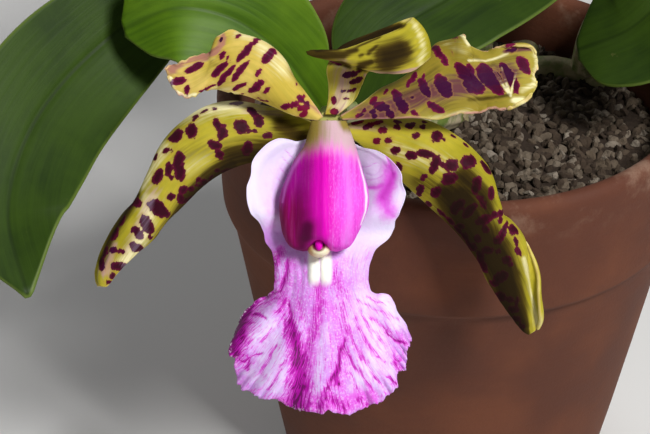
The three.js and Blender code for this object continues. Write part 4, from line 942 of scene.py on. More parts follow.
# Where the bloom is looked at from, on its own face and out of it.
FRONT_EYE = np.array([0, -19.35, 360.9])
VEIN_OLIVE = (0.24, 0.24, 0.02)
LIT_SKIN = (0.82, 0.75, 0.42)
# Painted shade on the tepals, in two depths.
PAINTED_SHADE_SKIN, DEEPEST_PAINTED_SHADE_SKIN = (0.072, 0.046, 0.005), (0.008, 0.004, 0.002)
CREAM_MARGIN_AND_GLEAM = (0.72, 0.6, 0.2)
CLAW_STAIN = (0.19, 0.004, 0.028)
VIOLET_STAIN = (0.038, 0.001, 0.028)
LIT_STAIN = (0.27, 0.19, 0.27)
BLOTCH_HALO = (0.4, 0.2, 0.05)


def on_bloom(points):
    """Points on the bloom's own face, X right, Y up and Z out of it, to their place in the plant."""
    x, y, z = np.moveaxis(points, -1, 0)
    c, s = math.cos(BLOOM_TURN), math.sin(BLOOM_TURN)
    return np.stack([x, y * c - z * s, y * s + z * c], axis=-1) + BLOOM_BASE


def clouded(u, v, seed):
    """Smooth chance values from 0 to 1, with a new one at each whole number of u and v."""
    knots = np.random.default_rng(seed).random((80, 80))
    column, row = np.floor(u).astype(int), np.floor(v).astype(int)
    a, b = (share * share * (3 - 2 * share) for share in (u - column, v - row))
    low = knots[row % 80, column % 80] * (1 - a) + knots[row % 80, (column + 1) % 80] * a
    high = knots[(row + 1) % 80, column % 80] * (1 - a) + knots[(row + 1) % 80, (column + 1) % 80] * a
    return low * (1 - b) + high * b


def tepal_points(shape, t, s):
    """A tepal's middle surface: between its two margins it swells by its crown."""
    def middle(at):
        return (through(shape["left"], at) + through(shape["right"], at)) / 2
    left, right = through(shape["left"], t), through(shape["right"], t)
    along = middle(np.minimum(1, t + 1e-2)) - middle(np.maximum(0, t - 1e-2))
    normal = unit(np.cross(right - left, along))
    top = value_through(shape["crest"], t)[:, None]
    s = np.atleast_2d(s)
    share = np.where(s < top, (top - s) / (1 + top), (s - top) / (1 - top))
    height, count, shift = shape["ruffle"]
    turn = count * t[:, None] + np.where(s > 0, shift, 0)
    wave = height * np.abs(s) ** 3 * np.sin(2 * np.pi * turn) * np.sin(np.pi * t)[:, None]
    swell = value_through(shape["crown"], t)[:, None] * (1 - share**2) + wave
    share = ((s + 1) / 2)[..., None]
    return left[:, None] * (1 - share) + right[:, None] * share + normal[:, None] * swell[..., None]


def net_value(net, t, s):
    """Smooth heights from a net of given ones: rows from base to tip, values from margin to margin."""
    rows = value_net(np.array(net, float), t)
    place_on = (np.clip(s, -1, 1) + 1) / 2
    return np.stack([value_through(row, at) for row, at in zip(rows, place_on)])


def value_net(net, t):
    """The rows of a net at each t, with each column run through smoothly."""
    return np.stack([value_through(column, t) for column in net.T], axis=1)


def rolled(shape, t, s):
    """A tepal's plain surface with its margins rolled over, and the plain places that it comes from."""
    s = np.repeat(s[None, :], len(t), axis=0)
    width = np.linalg.norm(through(shape["right"], t) - through(shape["left"], t), axis=1)[:, None]
    plain = s.copy()
    curl = np.zeros_like(s)
    radius = np.zeros_like(s)
    for side, begin, end, size, turn in shape.get("rolls", ()):
        swell = smooth_step(begin, begin + 0.14, t) * smooth_step(end, end - 0.14, t)
        r = (size / 2 * swell)[:, None]
        tangent = 1 - np.minimum(0.6, 2 * r / width)
        start = 1 - 0.28 * np.minimum(1, 4 * swell)[:, None]
        along = s * side
        inside = (along >= 0) & (along <= start)
        plain = np.where(inside, side * along / start * tangent, plain)
        outside = along > start
        plain = np.where(outside, side * tangent, plain)
        share = np.where(outside, (along - start) / np.maximum(1 - start, 1e-6), 0)
        curl = np.where(outside, share * np.radians(turn), curl)
        radius = np.where(outside, side * r, radius)
    points = tepal_points(shape, t, plain)
    far_side, near_side = np.minimum(1, plain + 0.01), np.maximum(-1, plain - 0.01)
    across = unit(tepal_points(shape, t, far_side) - tepal_points(shape, t, near_side))
    along = unit(np.gradient(points, axis=0))
    normal = unit(np.cross(across, along))
    points = points + across * (radius * np.sin(curl))[..., None]
    points = points + normal * (np.abs(radius) * (1 - np.cos(curl)))[..., None]
    lift = net_value(shape["relief"], t, plain) if "relief" in shape else np.zeros_like(plain)
    return points + normal * lift[..., None], plain


def laid_on(shape, blotches):
    """Blotches seen from the front, laid on a tepal along the line of sight. Gives each one's centre, its
    long and wide ways, and half its length and width."""
    points = tepal_points(shape, np.linspace(0, 1, 501), np.linspace(-1, 1, 241))
    away = points - FRONT_EYE
    seen = FRONT_EYE[:2] - away[..., :2] / away[..., 2:] * FRONT_EYE[2]
    steps = np.stack([np.gradient(points, axis=k) for k in (0, 1)], axis=-1)
    seen_steps = np.stack([np.gradient(seen, axis=k) for k in (0, 1)], axis=-1)
    for x, y, length, width, turn in blotches:
        miss = np.hypot(seen[..., 0] - x, seen[..., 1] - y)
        # Of the places that lie under the blotch's centre, the foremost one carries it.
        hidden = np.where(miss < miss.min() + 0.24, miss - 2 * points[..., 2], np.inf)
        at = np.unravel_index(np.argmin(hidden), hidden.shape)
        lean = math.radians(turn)
        ways = np.array([[math.cos(lean), -math.sin(lean)], [math.sin(lean), math.cos(lean)]])
        ends = steps[at] @ np.linalg.solve(seen_steps[at], ways * [length / 2, width / 2])
        # Skin that leans away makes a blotch longer or wider than it shows, up to twice at most.
        ways, sizes, _ = np.linalg.svd(ends, full_matrices=False)
        yield points[at], ways.T, np.minimum(sizes, [length, width])


def blotch_depth(shape, middle, blotches):
    """How far each point lies outside the nearest blotch, in millimetres; below 0 it is inside one."""
    depth = np.full(middle.shape[:2], 5.0)
    for centre, (long_way, wide_way), (half_long, half_wide) in laid_on(shape, blotches):
        away = middle - centre
        long, wide = away @ long_way / half_long, away @ wide_way / half_wide
        deep = away @ np.cross(long_way, wide_way) / (half_long + 0.5)
        reach = np.maximum(np.sqrt(long**2 + wide**2 + deep**2), 1e-3)
        outside = np.linalg.norm(away, axis=-1) * (1 - 1 / reach)
        depth = np.minimum(depth, np.maximum(outside, -half_wide))
    return depth


def tepal_finish(name, ground, pale, blotch, heart, flush, brim):
    """A tepal's skin: two ground colours, the blotches' edge and heart, the flush and the rim's blush."""
    material, tree, skin, where = finish_named(
        name, 0.65, Specular_IOR_Level=0.1, Subsurface_Weight=0.06,
        Subsurface_Radius=(0.0012, 0.001, 0.0004))
    cloud = noise(tree, where, 95, 4)
    colour = mixed(tree, ramp(tree, cloud, 0.35, 0.65), ground, pale)
    vein = place(tree, "ShaderNodeGroup", {"Spacing": 16.0, "Stretch": 0.06, "Sharpness": 0.12},
                 node_tree=LONG_VEINS).outputs[0]
    colour = mixed(tree, times(tree, vein, 0.2), colour, VEIN_OLIVE)
    # Painted light, the flush and painted shade are laid on in soft strokes, which the cloud and the veins
    # make uneven.
    uneven = plus(tree, minus(tree, cloud, 0.5), times(tree, minus(tree, vein, 0.5), 0.5))
    light = plus(tree, mark(tree, "light"), times(tree, uneven, 0.5))
    colour = mixed(tree, ramp(tree, light, 0.1, 1.0), colour, LIT_SKIN)
    flushed = plus(tree, mark(tree, "flush"), times(tree, uneven, 0.5))
    violet = ramp(tree, flushed, 0.15, 0.9)
    colour = mixed(tree, violet, colour, flush)
    painted_shade = plus(tree, mark(tree, "painted_shade"), times(tree, uneven, 0.4))
    colour = mixed(tree, ramp(tree, painted_shade, 0.1, 1.0), colour, PAINTED_SHADE_SKIN)
    # A thin cream line runs along the margin, partly its own pale edge and partly a painted edge highlight;
    # it blushes in places and fades out under the painted shade.
    rim = times(tree, ramp(tree, mark(tree, "margin"), 0.55, 0.1, 0, 0.7), ramp(tree, painted_shade, 0.7, 0.1))
    margin_line = mixed(tree, ramp(tree, noise(tree, where, 210, 2), 0.42, 0.6), CREAM_MARGIN_AND_GLEAM, brim)
    colour = mixed(tree, rim, colour, margin_line)
    # The blotches have ragged edges and darker hearts, and are redder on the claw; under the painted
    # highlights they turn lilac grey, a painted sheen.
    flat = place(tree, "ShaderNodeUVMap", uv_map="blade").outputs[0]
    streaks = noise(tree, flat, 9.0, 4, 0.6, (1.4, 0.7, 1.0))
    ragged = times(tree, minus(tree, streaks, 0.5), 1.5)
    depth = plus(tree, mark(tree, "blotch"), ragged)
    spotted = ramp(tree, depth, 0.12, -0.04)
    inside = ramp(tree, depth, 0.0, -0.7)
    stain = mixed(tree, inside, blotch, heart)
    stain = mixed(tree, ramp(tree, mark(tree, "reach"), 0.18, 0.04, 0, 0.8), stain, CLAW_STAIN)
    stain = mixed(tree, violet, stain, VIOLET_STAIN)
    stain = mixed(tree, ramp(tree, light, 0.55, 1.2, 0, 0.6), stain, LIT_STAIN)
    halo = times(tree, ramp(tree, depth, 0.6, 0.1, 0, 0.3), ramp(tree, painted_shade, 0.6, 0.1))
    colour = mixed(tree, halo, colour, BLOTCH_HALO)
    colour = mixed(tree, spotted, colour, stain)
    # The strongest painted shade goes almost black.
    colour = mixed(tree, ramp(tree, painted_shade, 0.5, 1.6, 0, 0.85), colour, DEEPEST_PAINTED_SHADE_SKIN)
    tree.links.new(colour, skin.inputs["Base Color"])
    cells = noise(tree, where, 1700, 2)
    waxy = ramp(tree, cells, 0.3, 0.7, 0.58, 0.72)
    dull = ramp(tree, painted_shade, 0.3, 1.0, 0.5, 1.0)
    tree.links.new(sums(tree, "MAXIMUM", waxy, dull), skin.inputs["Roughness"])
    grain = plus(tree, times(tree, vein, 0.5), times(tree, cells, 0.5))
    under = relief(tree, skin, grain, 0.00008, 0.4)
    relief(tree, skin, spotted, 0.00015, 0.5, under)
    return material


def brushed(x, y, strokes):
    """The strongest of some soft strokes at each place. Each is a strength, a half width or one for each
    end, and a path."""
    cover = np.zeros(np.shape(x))
    for strength, *widths, path in strokes:
        first, last = widths[0], widths[-1]
        for k, ((x0, y0), (x1, y1)) in enumerate(zip(path, path[1:])):
            run = (x1 - x0) ** 2 + (y1 - y0) ** 2
            share = np.clip(((x - x0) * (x1 - x0) + (y - y0) * (y1 - y0)) / run, 0, 1)
            away = np.hypot(x - x0 - share * (x1 - x0), y - y0 - share * (y1 - y0))
            wide = first + (last - first) * (k + share) / (len(path) - 1)
            cover = np.maximum(cover, strength * np.exp(-((away / wide) ** 2)))
    return cover


# Soft strokes on the tepals, in millimetres on the bloom's face: painted highlights where they catch the
# light (on the right petal also its own pale streaks), painted shade where they lie in shade, and where they
# flush.
TEPAL_LIGHT = {
    "dorsal_sepal": [
        (0.5, 0.8, 0.9, [(17.2, 18.3), (18.2, 16.2), (19, 13.2), (18.2, 10.9)]),
        (0.8, 1.8, [(3.9, 5.4), (3.1, 2.5)]),
        (0.4, 0.4, [(-0.6, 11.9), (3.9, 10.1)]),
    ],
    "petal_left": [
        (0.6, 0.9, [(-17.7, 17.1), (-12.6, 15.5), (-8.2, 11.5)]),
        (0.6, 2, 2.4, [(-12.6, 14.9), (-8.6, 9.9)]),
        (0.35, 0.5, [(-29.3, 10.1), (-24.9, 11.3), (-21.9, 12.1)]),
        (1.1, 0.45, [(-30.7, 8.1), (-30, 5.7), (-27.9, 4.4), (-25.7, 4.9)]),
        (0.4, 1.2, [(-21.9, 6.9), (-15.9, 3.9)]),
    ],
    "petal_right": [
        (0.35, 1.4, [(24.5, 14.9), (27.3, 13.5)]),
        (0.8, 0.5, 0.4, [(27.3, 17.1), (28.3, 14.5)]),
        (0.8, 0.3, [(28.5, 11.7), (31.9, 11.5), (33.5, 11.9), (36.3, 13.1)]),
        (0.55, 0.7, [(41.5, 13.9), (42.1, 11.5), (41.3, 6.9), (38.9, 5.5)]),
        (1.1, 0.35, 0.16, [(36.7, 4.5), (33.7, 9.5)]),
        (1.1, 0.35, 0.16, [(36.7, 4.5), (35.1, 10.3)]),
        (0.9, 0.3, 0.16, [(36.7, 4.5), (37.9, 9.1)]),
        (0.9, 0.8, [(37.5, 3.7), (38.9, 3.7)]),
        (0.35, 0.6, 0.8, [(20.9, 0.1), (25.9, 1.1), (29.9, 2.1)]),
    ],
    "lateral_sepal_left": [
        (0.95, 2.2, [(-28.9, 1), (-24.3, 2.6), (-17.2, 3.4)]),
        (0.5, 1.2, [(-12.7, 1.8), (-17.2, 1.8)]),
        (0.6, 1.4, [(-32.1, -5.5), (-35, -9.9), (-36.2, -13.1)]),
        (0.35, 1.8, 1.6, [(-27.7, -9.9), (-24, -7.5)]),
        (0.9, 1.8, 1.6, [(-35, -16), (-37, -22.4), (-41, -28.9)]),
        (0.6, 0.3, [(-31.3, 0.2), (-35, -5.9), (-36.2, -11.9)]),
    ],
    "lateral_sepal_right": [
        (0.65, 0.6, 0.8, [(39.6, -27.7), (41.4, -34.6), (42.8, -40.8)]),
        (0.6, 0.4, [(26.3, -1.4), (33.3, -6.9), (36.4, -13.9), (39.4, -19), (40.8, -25.1)]),
        (0.45, 2, [(14.1, -5.9), (21.2, -7.9), (25.7, -9.5)]),
    ],
}
TEPAL_PAINTED_SHADE = {
    "dorsal_sepal": [
        (1.5, 2.9, 2.5, [(11.9, 11.3), (14.5, 12.7)]),
        (1.6, 1.3, 1.1, [(-1.4, 13.1), (2, 13.4), (3.9, 14.4), (7.8, 15.8), (12.3, 17.5), (14.7, 18.1)]),
        (0.9, 0.4, 0.3, [(4.1, 12.1), (7.2, 13.6), (10.8, 15.2)]),
        (1, 0.6, 0.5, [(8.4, 12.1), (10, 13.4)]),
        (0.9, 0.5, 0.4, [(6.8, 11.7), (7.4, 11.9)]),
        (1.1, 0.8, 0.7, [(6.8, 10.1), (9, 10.7)]),
        (1.1, 1, 0.7, [(-3.7, 12.7), (0, 12.1), (3.7, 11.9), (6.1, 12.7)]),
        (0.9, 0.5, 0.4, [(0.6, 11.1), (3.3, 10.9), (4.9, 10.3)]),
        (0.1, 1.4, [(3.9, 8.9), (2.9, 2.5)]),
    ],
    "petal_left": [
        (0.4, 1, [(-22.9, 11.9), (-19.9, 8.9)]),
        (0.35, 0.9, [(-29.7, 10.7), (-27.1, 11.9), (-23.5, 12.5), (-21.3, 14.1)]),
    ],
    "petal_right": [
        (0.55, 2, 1.6, [(14.9, 4.7), (18.9, 6.7), (22.1, 9.9)]),
        (0.8, 0.8, 0.6, [(28.5, 3.7), (32.9, 4.1), (36.3, 4.5)]),
        (0.5, 1.6, 1.3, [(22.3, 2.1), (28.1, 3.1), (34.5, 4.3)]),
        (0.5, 0.8, [(28.9, 12.7), (31.9, 10.7), (37.9, 12.3)]),
        (0.4, 0.7, 0.6, [(26.3, 16.3), (26.3, 13.1)]),
    ],
    "lateral_sepal_left": [
        (1.1, 2.6, 2.2, [(-3.4, -4.6), (-6.7, -2.2), (-9.1, -1)]),
        (0.45, 1.8, 1.6, [(-9.1, 0.2), (-12.7, 1.8)]),
        (1.3, 3.4, 3, [(-6.7, -5.5), (-12.7, -6.3), (-18.8, -7.5)]),
        (1.5, 2.2, 2, [(-18.8, -8.3), (-23.6, -11.9), (-27.7, -15.6)]),
        (1.2, 1.6, 1.4, [(-27.7, -15.6), (-31.3, -20.4), (-35.8, -26.5)]),
        (0.4, 2.6, 2.4, [(-24, -5.9), (-28.9, -7.1)]),
        (1.1, 1.2, [(-37.8, -15.2), (-40.4, -19.2), (-43.5, -24), (-45.3, -28.5)]),
    ],
    "lateral_sepal_right": [
        (0.7, 2.6, 3.4, [(19.2, -11.9), (22.8, -13.5), (26.5, -15.2)]),
        (1.6, 3.4, 3.8, [(24.9, -14.8), (26.9, -17.6)]),
        (2, 4, 3.6, [(26.9, -16), (29.3, -20.8), (33.3, -26.1)]),
        (1.4, 2.6, 1.8, [(27.7, -11.5), (31.3, -15.2), (32.5, -18.8)]),
        (2, 3.7, 2.7, [(33.7, -26.1), (36, -31.1), (37.5, -36.2)]),
        (2, 2.7, 1.4, [(37.5, -36.2), (39.9, -41.2)]),
        (1.5, 1.4, 0.9, [(39.9, -41.2), (41, -43.9)]),
    ],
}
TEPAL_FLUSH = {
    "dorsal_sepal": [
        (0.5, 0.5, 0.7, [(-3.5, 13.1), (0, 12.3), (3.9, 11.3)]),
        (0.9, 0.5, [(8, 8.9), (13.7, 8.8), (18.6, 9.7)]),
        (0.6, 2.1, 1.4, [(3.9, 8.9), (2.9, 1.5)]),
    ],
    "petal_left": [
        (1.1, 1.1, 1.2, [(-30.5, 9.9), (-28.3, 11.7), (-26.3, 12.3), (-23.9, 12.5)]),
        (1.1, 0.9, 0.8, [(-23.9, 12.7), (-21.7, 13.3), (-20.5, 14.9), (-20.3, 16.3)]),
        (0.6, 0.8, [(-5, 3.9), (-1.4, 1.5)]),
    ],
    "petal_right": [
        (0.95, 2.4, 3.2, [(8, 0.5), (14.9, 3.1), (20.9, 5.5), (27.3, 6.7)]),
        (0.9, 3.2, 2.4, [(27.3, 7.1), (31.9, 7.9), (36.5, 9.1)]),
        (0.6, 1, [(3, -0.9), (9.4, 1.5)]),
        (0.8, 0.6, [(35.9, 13.5), (40.9, 13.9)]),
    ],
    "lateral_sepal_left": [
        (0.8, 1.2, 1, [(-44.7, -30.5), (-42.6, -25.1)]),
        (0.5, 1.6, 1.2, [(-34.2, -13.9), (-37.4, -20), (-40.6, -26.1)]),
        (0.45, 1.2, [(-16, 1.8), (-9.1, 1)]),
    ],
    "lateral_sepal_right": [
        (0.45, 0.8, [(4, -1.4), (12.1, -1.4)]),
    ],
}
SEPAL_SKIN = tepal_finish("spotted sepal", (0.31, 0.265, 0.012), (0.45, 0.375, 0.03), (0.085, 0.003, 0.02),
                          (0.034, 0.001, 0.008), (0.44, 0.27, 0.22), (0.6, 0.46, 0.14))
# The right petal wears a darker copy of the petal's skin, ground and flush alike: painted shade over all of
# it.
PETAL_SKIN, SHADED_PETAL_SKIN = (
    tepal_finish(name, ground, pale, (0.15, 0.003, 0.038), (0.062, 0.001, 0.018), flush, (0.62, 0.3, 0.28))
    for name, ground, pale, flush in (
        ("spotted petal", (0.5, 0.37, 0.05), (0.68, 0.5, 0.125), (0.4, 0.18, 0.12)),
        ("petal in painted shade", (0.25, 0.185, 0.018), (0.34, 0.27, 0.035), (0.125, 0.04, 0.045))))
for name, shape in TEPALS.items():
    t = np.linspace(0, 1, shape["rows"] + 1)
    s = across_steps(shape["columns"])
    middle, plain = rolled(shape, t, s)
    blotch = blotch_depth(shape, tepal_points(shape, t, plain), BLOTCHES[name]) - shape["spread"]
    # The petals' margins are crisped towards the tip, the sepals' hardly at all.
    crisp = smooth_step(0.75, 1, np.abs(s)) * smooth_step(0.3, 0.7, t)[:, None]
    crisp = shape.get("frill", 0.15) * crisp[..., None]
    outward = unit(np.gradient(middle, axis=1)) * np.sign(s)[None, :, None]
    nibble, lift = (clouded(count * t + 3, 0 * t + 4, 41)[:, None, None] - 0.5 for count in (42, 21))
    middle = middle + outward * (crisp * nibble) + [0, 0, 1.6] * (crisp * lift)
    x, y = middle[..., 0], middle[..., 1]
    light, painted_shade, flush = (brushed(x, y, strokes[name]) for strokes in (TEPAL_LIGHT, TEPAL_PAINTED_SHADE, TEPAL_FLUSH))
    # On the right petal its painted highlights and its own pale streaks cut through the blotches.
    if name == "petal_right":
        blotch = blotch + 2.2 * light
    mesh = thick_sheet(name, on_bloom(middle), shape["thickness"] / 2, {
        "blotch": blotch, "light": light, "painted_shade": painted_shade, "flush": flush, "reach": t[:, None]})
    petal = name.startswith("petal")
    skin = SHADED_PETAL_SKIN if name == "petal_right" else PETAL_SKIN if petal else SEPAL_SKIN
    tepal = show(name + "_skin", mesh, skin)
    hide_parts(name)

# ------------------------------ Lip
# The lip is one petal in three lobes: two side lobes that stand up beside the column, a waist with
# two white keels, and a broad mid lobe with a crisped edge. Lavender pink, with magenta veins.
# Rows of knots from the lip's foot to its edge, each from the left margin to the right one.
LIP_NET = [
    [(-1, -2.8, -2), (-0.6, -2.8, -2), (-0.1, -2.8, -2), (0.3, -2.8, -2), (0.7, -2.8, -2),
     (1.2, -2.8, -2), (1.6, -2.8, -2), (2, -2.8, -2), (2.4, -2.8, -2)],
    [(-5, -4.2, -1), (-3.8, -4.9, -3), (-2.6, -5.4, -4.5), (-1, -5.8, -5), (0.6, -6, -5),
     (2.2, -5.8, -5), (3.8, -5.6, -4.5), (5.4, -5.3, -3), (6.6, -5.2, -1)],
    [(-9.1, -3.9, 2), (-7.8, -5.8, -1), (-5.2, -7.5, -3.5), (-2.4, -8.5, -4.5), (0.6, -8.9, -5),
     (3.6, -8.7, -4.5), (6.3, -7.9, -3.5), (8.8, -7, -1), (10.5, -6.5, 2)],
    [(-13.4, -7.3, 4), (-11.6, -9, 1), (-7.4, -10.8, -2), (-3.4, -11.7, -4), (0.4, -11.9, -4.5),
     (4.2, -11.7, -4), (8.2, -11, -2), (12.4, -10.2, 1), (14.2, -9.7, 4)],
    [(-15, -12.9, 5), (-12.7, -13.6, 2.5), (-8.4, -14.4, -1), (-4, -15, -3), (0.2, -15.2, -3.5),
     (4.4, -15, -3), (8.8, -14.4, -1), (13.5, -14, 2.5), (15.6, -14.3, 5)],
    [(-14.4, -18.2, 5), (-11.9, -18.2, 2.5), (-8, -18.4, 0), (-4, -18.4, -1.5), (0, -18.4, -2),
     (4, -18.4, -1.5), (8.2, -18.4, 0), (12.3, -18.2, 2.5), (14.4, -18.4, 4.5)],
    [(-12.3, -22.2, 4), (-10.1, -22.2, 2.5), (-7, -22.2, 1), (-3.6, -22.2, 0), (-0.2, -22.2, 0),
     (3.2, -22.2, 0), (6.6, -22.2, 1), (10.5, -22, 2.5), (13.7, -21.8, 3.5)],
    [(-10.7, -26.7, 3), (-8.3, -26.7, 2.5), (-5.8, -27, 2), (-3.2, -27, 2), (-0.6, -26.9, 2.5),
     (2, -27, 2), (4.6, -26.8, 2), (7.1, -26.5, 2.5), (10.1, -26.3, 3)],
    [(-9.9, -31.7, 2), (-7.5, -32.1, 2.5), (-5.4, -32.3, 3), (-3, -32.5, 3.5), (-0.8, -32.5, 3.5),
     (1.6, -32.5, 3.5), (4, -32.3, 3), (6.4, -32.1, 2.5), (8.5, -31.7, 2)],
    [(-10.7, -34.3, 1.5), (-8.9, -35.9, 2.5), (-6.7, -38.2, 3.5), (-3.8, -38.9, 4.5), (-0.8, -38.9, 5),
     (2.4, -38.9, 4.5), (5.5, -38, 3.5), (8.1, -36.1, 2.5), (9.8, -34.5, 1.5)],
    [(-12.6, -35.5, 1), (-12.1, -39.1, 2.5), (-9.7, -44.1, 4), (-5.1, -45.2, 5.5), (-1, -45.5, 6),
     (3.7, -45.6, 5.5), (8.1, -43.7, 4), (10.7, -40.2, 2.5), (12.2, -34.7, 1)],
    [(-14.8, -36.8, 0.5), (-15.5, -42.5, 2), (-13.3, -49.1, 3.5), (-7.5, -50.9, 5.5), (-1.4, -51.8, 6),
     (5.5, -51.9, 5.5), (11.3, -48.7, 3.5), (13.5, -44.6, 2), (14.6, -37.8, 0.5)],
    [(-17, -39.6, 0), (-19.1, -46.1, 1), (-16.9, -53, 2), (-10.5, -55.6, 4), (-1.6, -57.6, 5),
     (7.3, -57.6, 4), (14.3, -53, 2), (16.3, -48.3, 1), (17.4, -43.6, 0)],
]
LIP_ROWS = 200
LIP_COLUMNS = 200
LIP_WAIST = 0.64
LIP_RUFFLE = 1.1
KEEL_PLACES, KEEL_HALF_WIDTH = (-2.15, 0.15), 0.95
LIP_FRILL = [0, 0.2, 0, 0.3, -1, -0.2, 0.1, 0, 0.2, -0.5, 0.4, 0.4, 0.3, -0.4, 0.3, 0.2, 0, 0.2, 0.1, -1.5,
             0, 0.1, -1, -0.2, 0.4]
LIP_ROSE, LIP_LILAC = (0.6, 0.22, 0.7), (0.67, 0.4, 0.84)
LIP_WHITE, SIDE_LOBE_WHITE, KEEL_WHITE = (0.76, 0.68, 0.9), (0.77, 0.72, 0.89), (0.93, 0.91, 0.82)
LIP_FLUSH = (0.7, 0.125, 0.7)
VEIN_PINK, VEIN_MAGENTA, DARK_VEIN_AND_PAINTED_SHADE = (0.66, 0.085, 0.63), (0.45, 0.004, 0.37), (0.16, 0.002, 0.12)
SPARKLE, GLINT_WHITE = (0.82, 0.74, 0.93), (0.92, 0.8, 0.96)
# Soft strokes on the lip, in millimetres on the bloom's face: its veins, its blushes and its pale places.
LIP_MAGENTA = [
    (1.15, 0.9, 2.5, [(-6.6, -40.3), (-5.8, -44.8), (-5.2, -48.8), (-5, -52.8), (-5.6, -57.2)]),
    (0.75, 0.45, [(-7.8, -39.5), (-8, -42.9)]),
    (0.8, 0.45, [(-7, -36.9), (-6.2, -41.9), (-5.8, -45.8)]),
    (0.7, 1, 1.8, [(-4.4, -44.8), (-3.8, -50.8), (-4, -56.2)]),
    (0.5, 1.1, 0.6, [(-1.4, -32.7), (-1, -35.9), (-1.6, -40.3), (-2.8, -44.8), (-3.6, -49.8)]),
    (1.15, 0.35, 0.7, [(3.8, -43.5), (2.8, -46.8), (2.2, -50.2), (2.4, -52.4)]),
    (0.8, 0.5, 1.2, [(1.6, -50.2), (0.2, -53.4), (-0.8, -57)]),
    (0.5, 0.4, 0.3, [(5.4, -43.5), (7, -47.4)]),
    (0.45, 0.45, [(4, -45.8), (6.6, -49.4), (9.3, -53.8)]),
    (0.95, 0.3, 0.45, [(12.1, -42.1), (14.1, -43.9), (15.9, -44.4)]),
    (0.6, 0.95, 0.6, [(13.9, -48.2), (15.1, -49.8)]),
    (0.9, 0.3, [(12.3, -51), (14.3, -52.4)]),
    # On the left margin of the mid lobe the strongest strokes paint its shade, darker than any vein.
    (1.6, 1.9, 2.8, [(-14.9, -34.9), (-16.9, -39.1), (-18.1, -43.1)]),
    (1.6, 2.6, 2.2, [(-18.1, -43.5), (-18.5, -45.8)]),
    (0.95, 0.3, [(-18.3, -47.2), (-16.1, -48), (-14.7, -47.2), (-12.5, -46.2)]),
    (0.7, 0.6, 0.45, [(-15.5, -49.4), (-15.1, -47.4)]),
    (0.8, 0.45, 0.3, [(-16.1, -39.9), (-13.7, -38.7), (-11.7, -39.5)]),
    (0.6, 0.45, 0.3, [(-16.5, -41.5), (-13.7, -40.3)]),
    (0.55, 0.45, 0.3, [(-15.3, -37.9), (-12.1, -36.7), (-8.9, -35.5)]),
    (0.8, 0.6, 0.45, [(-12.5, -35.5), (-9.1, -34.1), (-7.6, -30.9), (-7.4, -27.9)]),
    (0.8, 0.95, 0.8, [(-8.9, -26), (-10.1, -28.9), (-10.5, -32.3)]),
    (0.5, 0.45, [(-9.9, -38.3), (-7.4, -35.9)]),
    (0.8, 0.8, [(-7, -55.4), (-5, -57.8)]),
    (0.8, 0.45, 0.6, [(-1.8, -56.2), (-1, -58.2)]),
    (0.6, 0.8, 0.6, [(6.6, -55.6), (8.3, -56.4)]),
    (0.75, 1.3, [(0.5, -54.6), (3.4, -56.6)]),
    (0.5, 0.95, 0.8, [(-8, -56.8), (-9.9, -55.4)]),
    (0.3, 0.4, [(6.6, -35.9), (10.9, -38.3), (14.7, -39.7)]),
    (0.35, 0.3, [(8.2, -35.3), (12.1, -36.9)]),
    (0.38, 0.4, 0.45, [(8.9, -39.3), (13.3, -42.3)]),
    (0.34, 0.45, [(7, -37.9), (9.3, -41.9), (12.1, -45)]),
    (0.4, 0.4, 0.45, [(5.8, -39.5), (8, -43.9), (11.3, -48.2)]),
    (0.4, 0.45, [(4.6, -41.9), (7.8, -47.8), (10.9, -52.2)]),
    (0.35, 0.45, [(5, -49.8), (7.4, -55.4)]),
    (0.3, 0.3, [(-10.5, -41.5), (-12.5, -44.2)]),
    (0.35, 0.45, [(-9.3, -44.8), (-12.5, -50.2)]),
    (0.35, 0.45, [(-7.8, -47.8), (-10.9, -53.4)]),
    (0.4, 0.45, [(-7, -50.2), (-8.7, -55.4)]),
    (0.3, 0.6, [(-5, -35.9), (-3.8, -40.9), (-2.6, -43.9)]),
    (0.3, 0.8, [(-8.5, -34.3), (-8.5, -38.3)]),
    (0.35, 1.1, 0.8, [(2, -29.9), (3.2, -35.9), (4.4, -41.9)]),
    (0.4, 0.13, 0.11, [(7.1, -9.4), (8, -9.4), (8.8, -9.3), (9.7, -8.9), (10.5, -8.5)]),
    (0.24, 0.18, 0.16, [(8.4, -10.7), (9.3, -11.1), (10.2, -11), (10.8, -10.4), (11.2, -9.6)]),
    (0.28, 0.18, 0.16, [(8.3, -11.9), (9.3, -12), (10.4, -11.8), (11.5, -11.3), (12.1, -10.3)]),
    # The crescent in the groove of the right side lobe: its own magenta, deepened in part by painted shade.
    (0.42, 0.2, 0.5, [(12.1, -7.1), (13, -9.2), (13.4, -10.7)]),
    (0.72, 1, 1.3, [(13.5, -10.9), (13, -12.6), (12.2, -14.2), (11.5, -15.6)]),
    (0.52, 0.9, 0.5, [(11.9, -13.2), (10.4, -13.6), (8.6, -13.6)]),
    (0.36, 0.8, 0.5, [(11.3, -16), (12.1, -17.8), (13.5, -19.1)]),
    (0.4, 0.16, [(-8.2, -5.9), (-6.6, -7.7)]),
    (0.4, 0.16, [(-8.7, -7.5), (-7, -9.3)]),
    (0.4, 0.16, [(-9.1, -9.7), (-7.4, -11.4)]),
    (0.35, 0.16, [(-9.7, -11.6), (-8.2, -13.2)]),
]
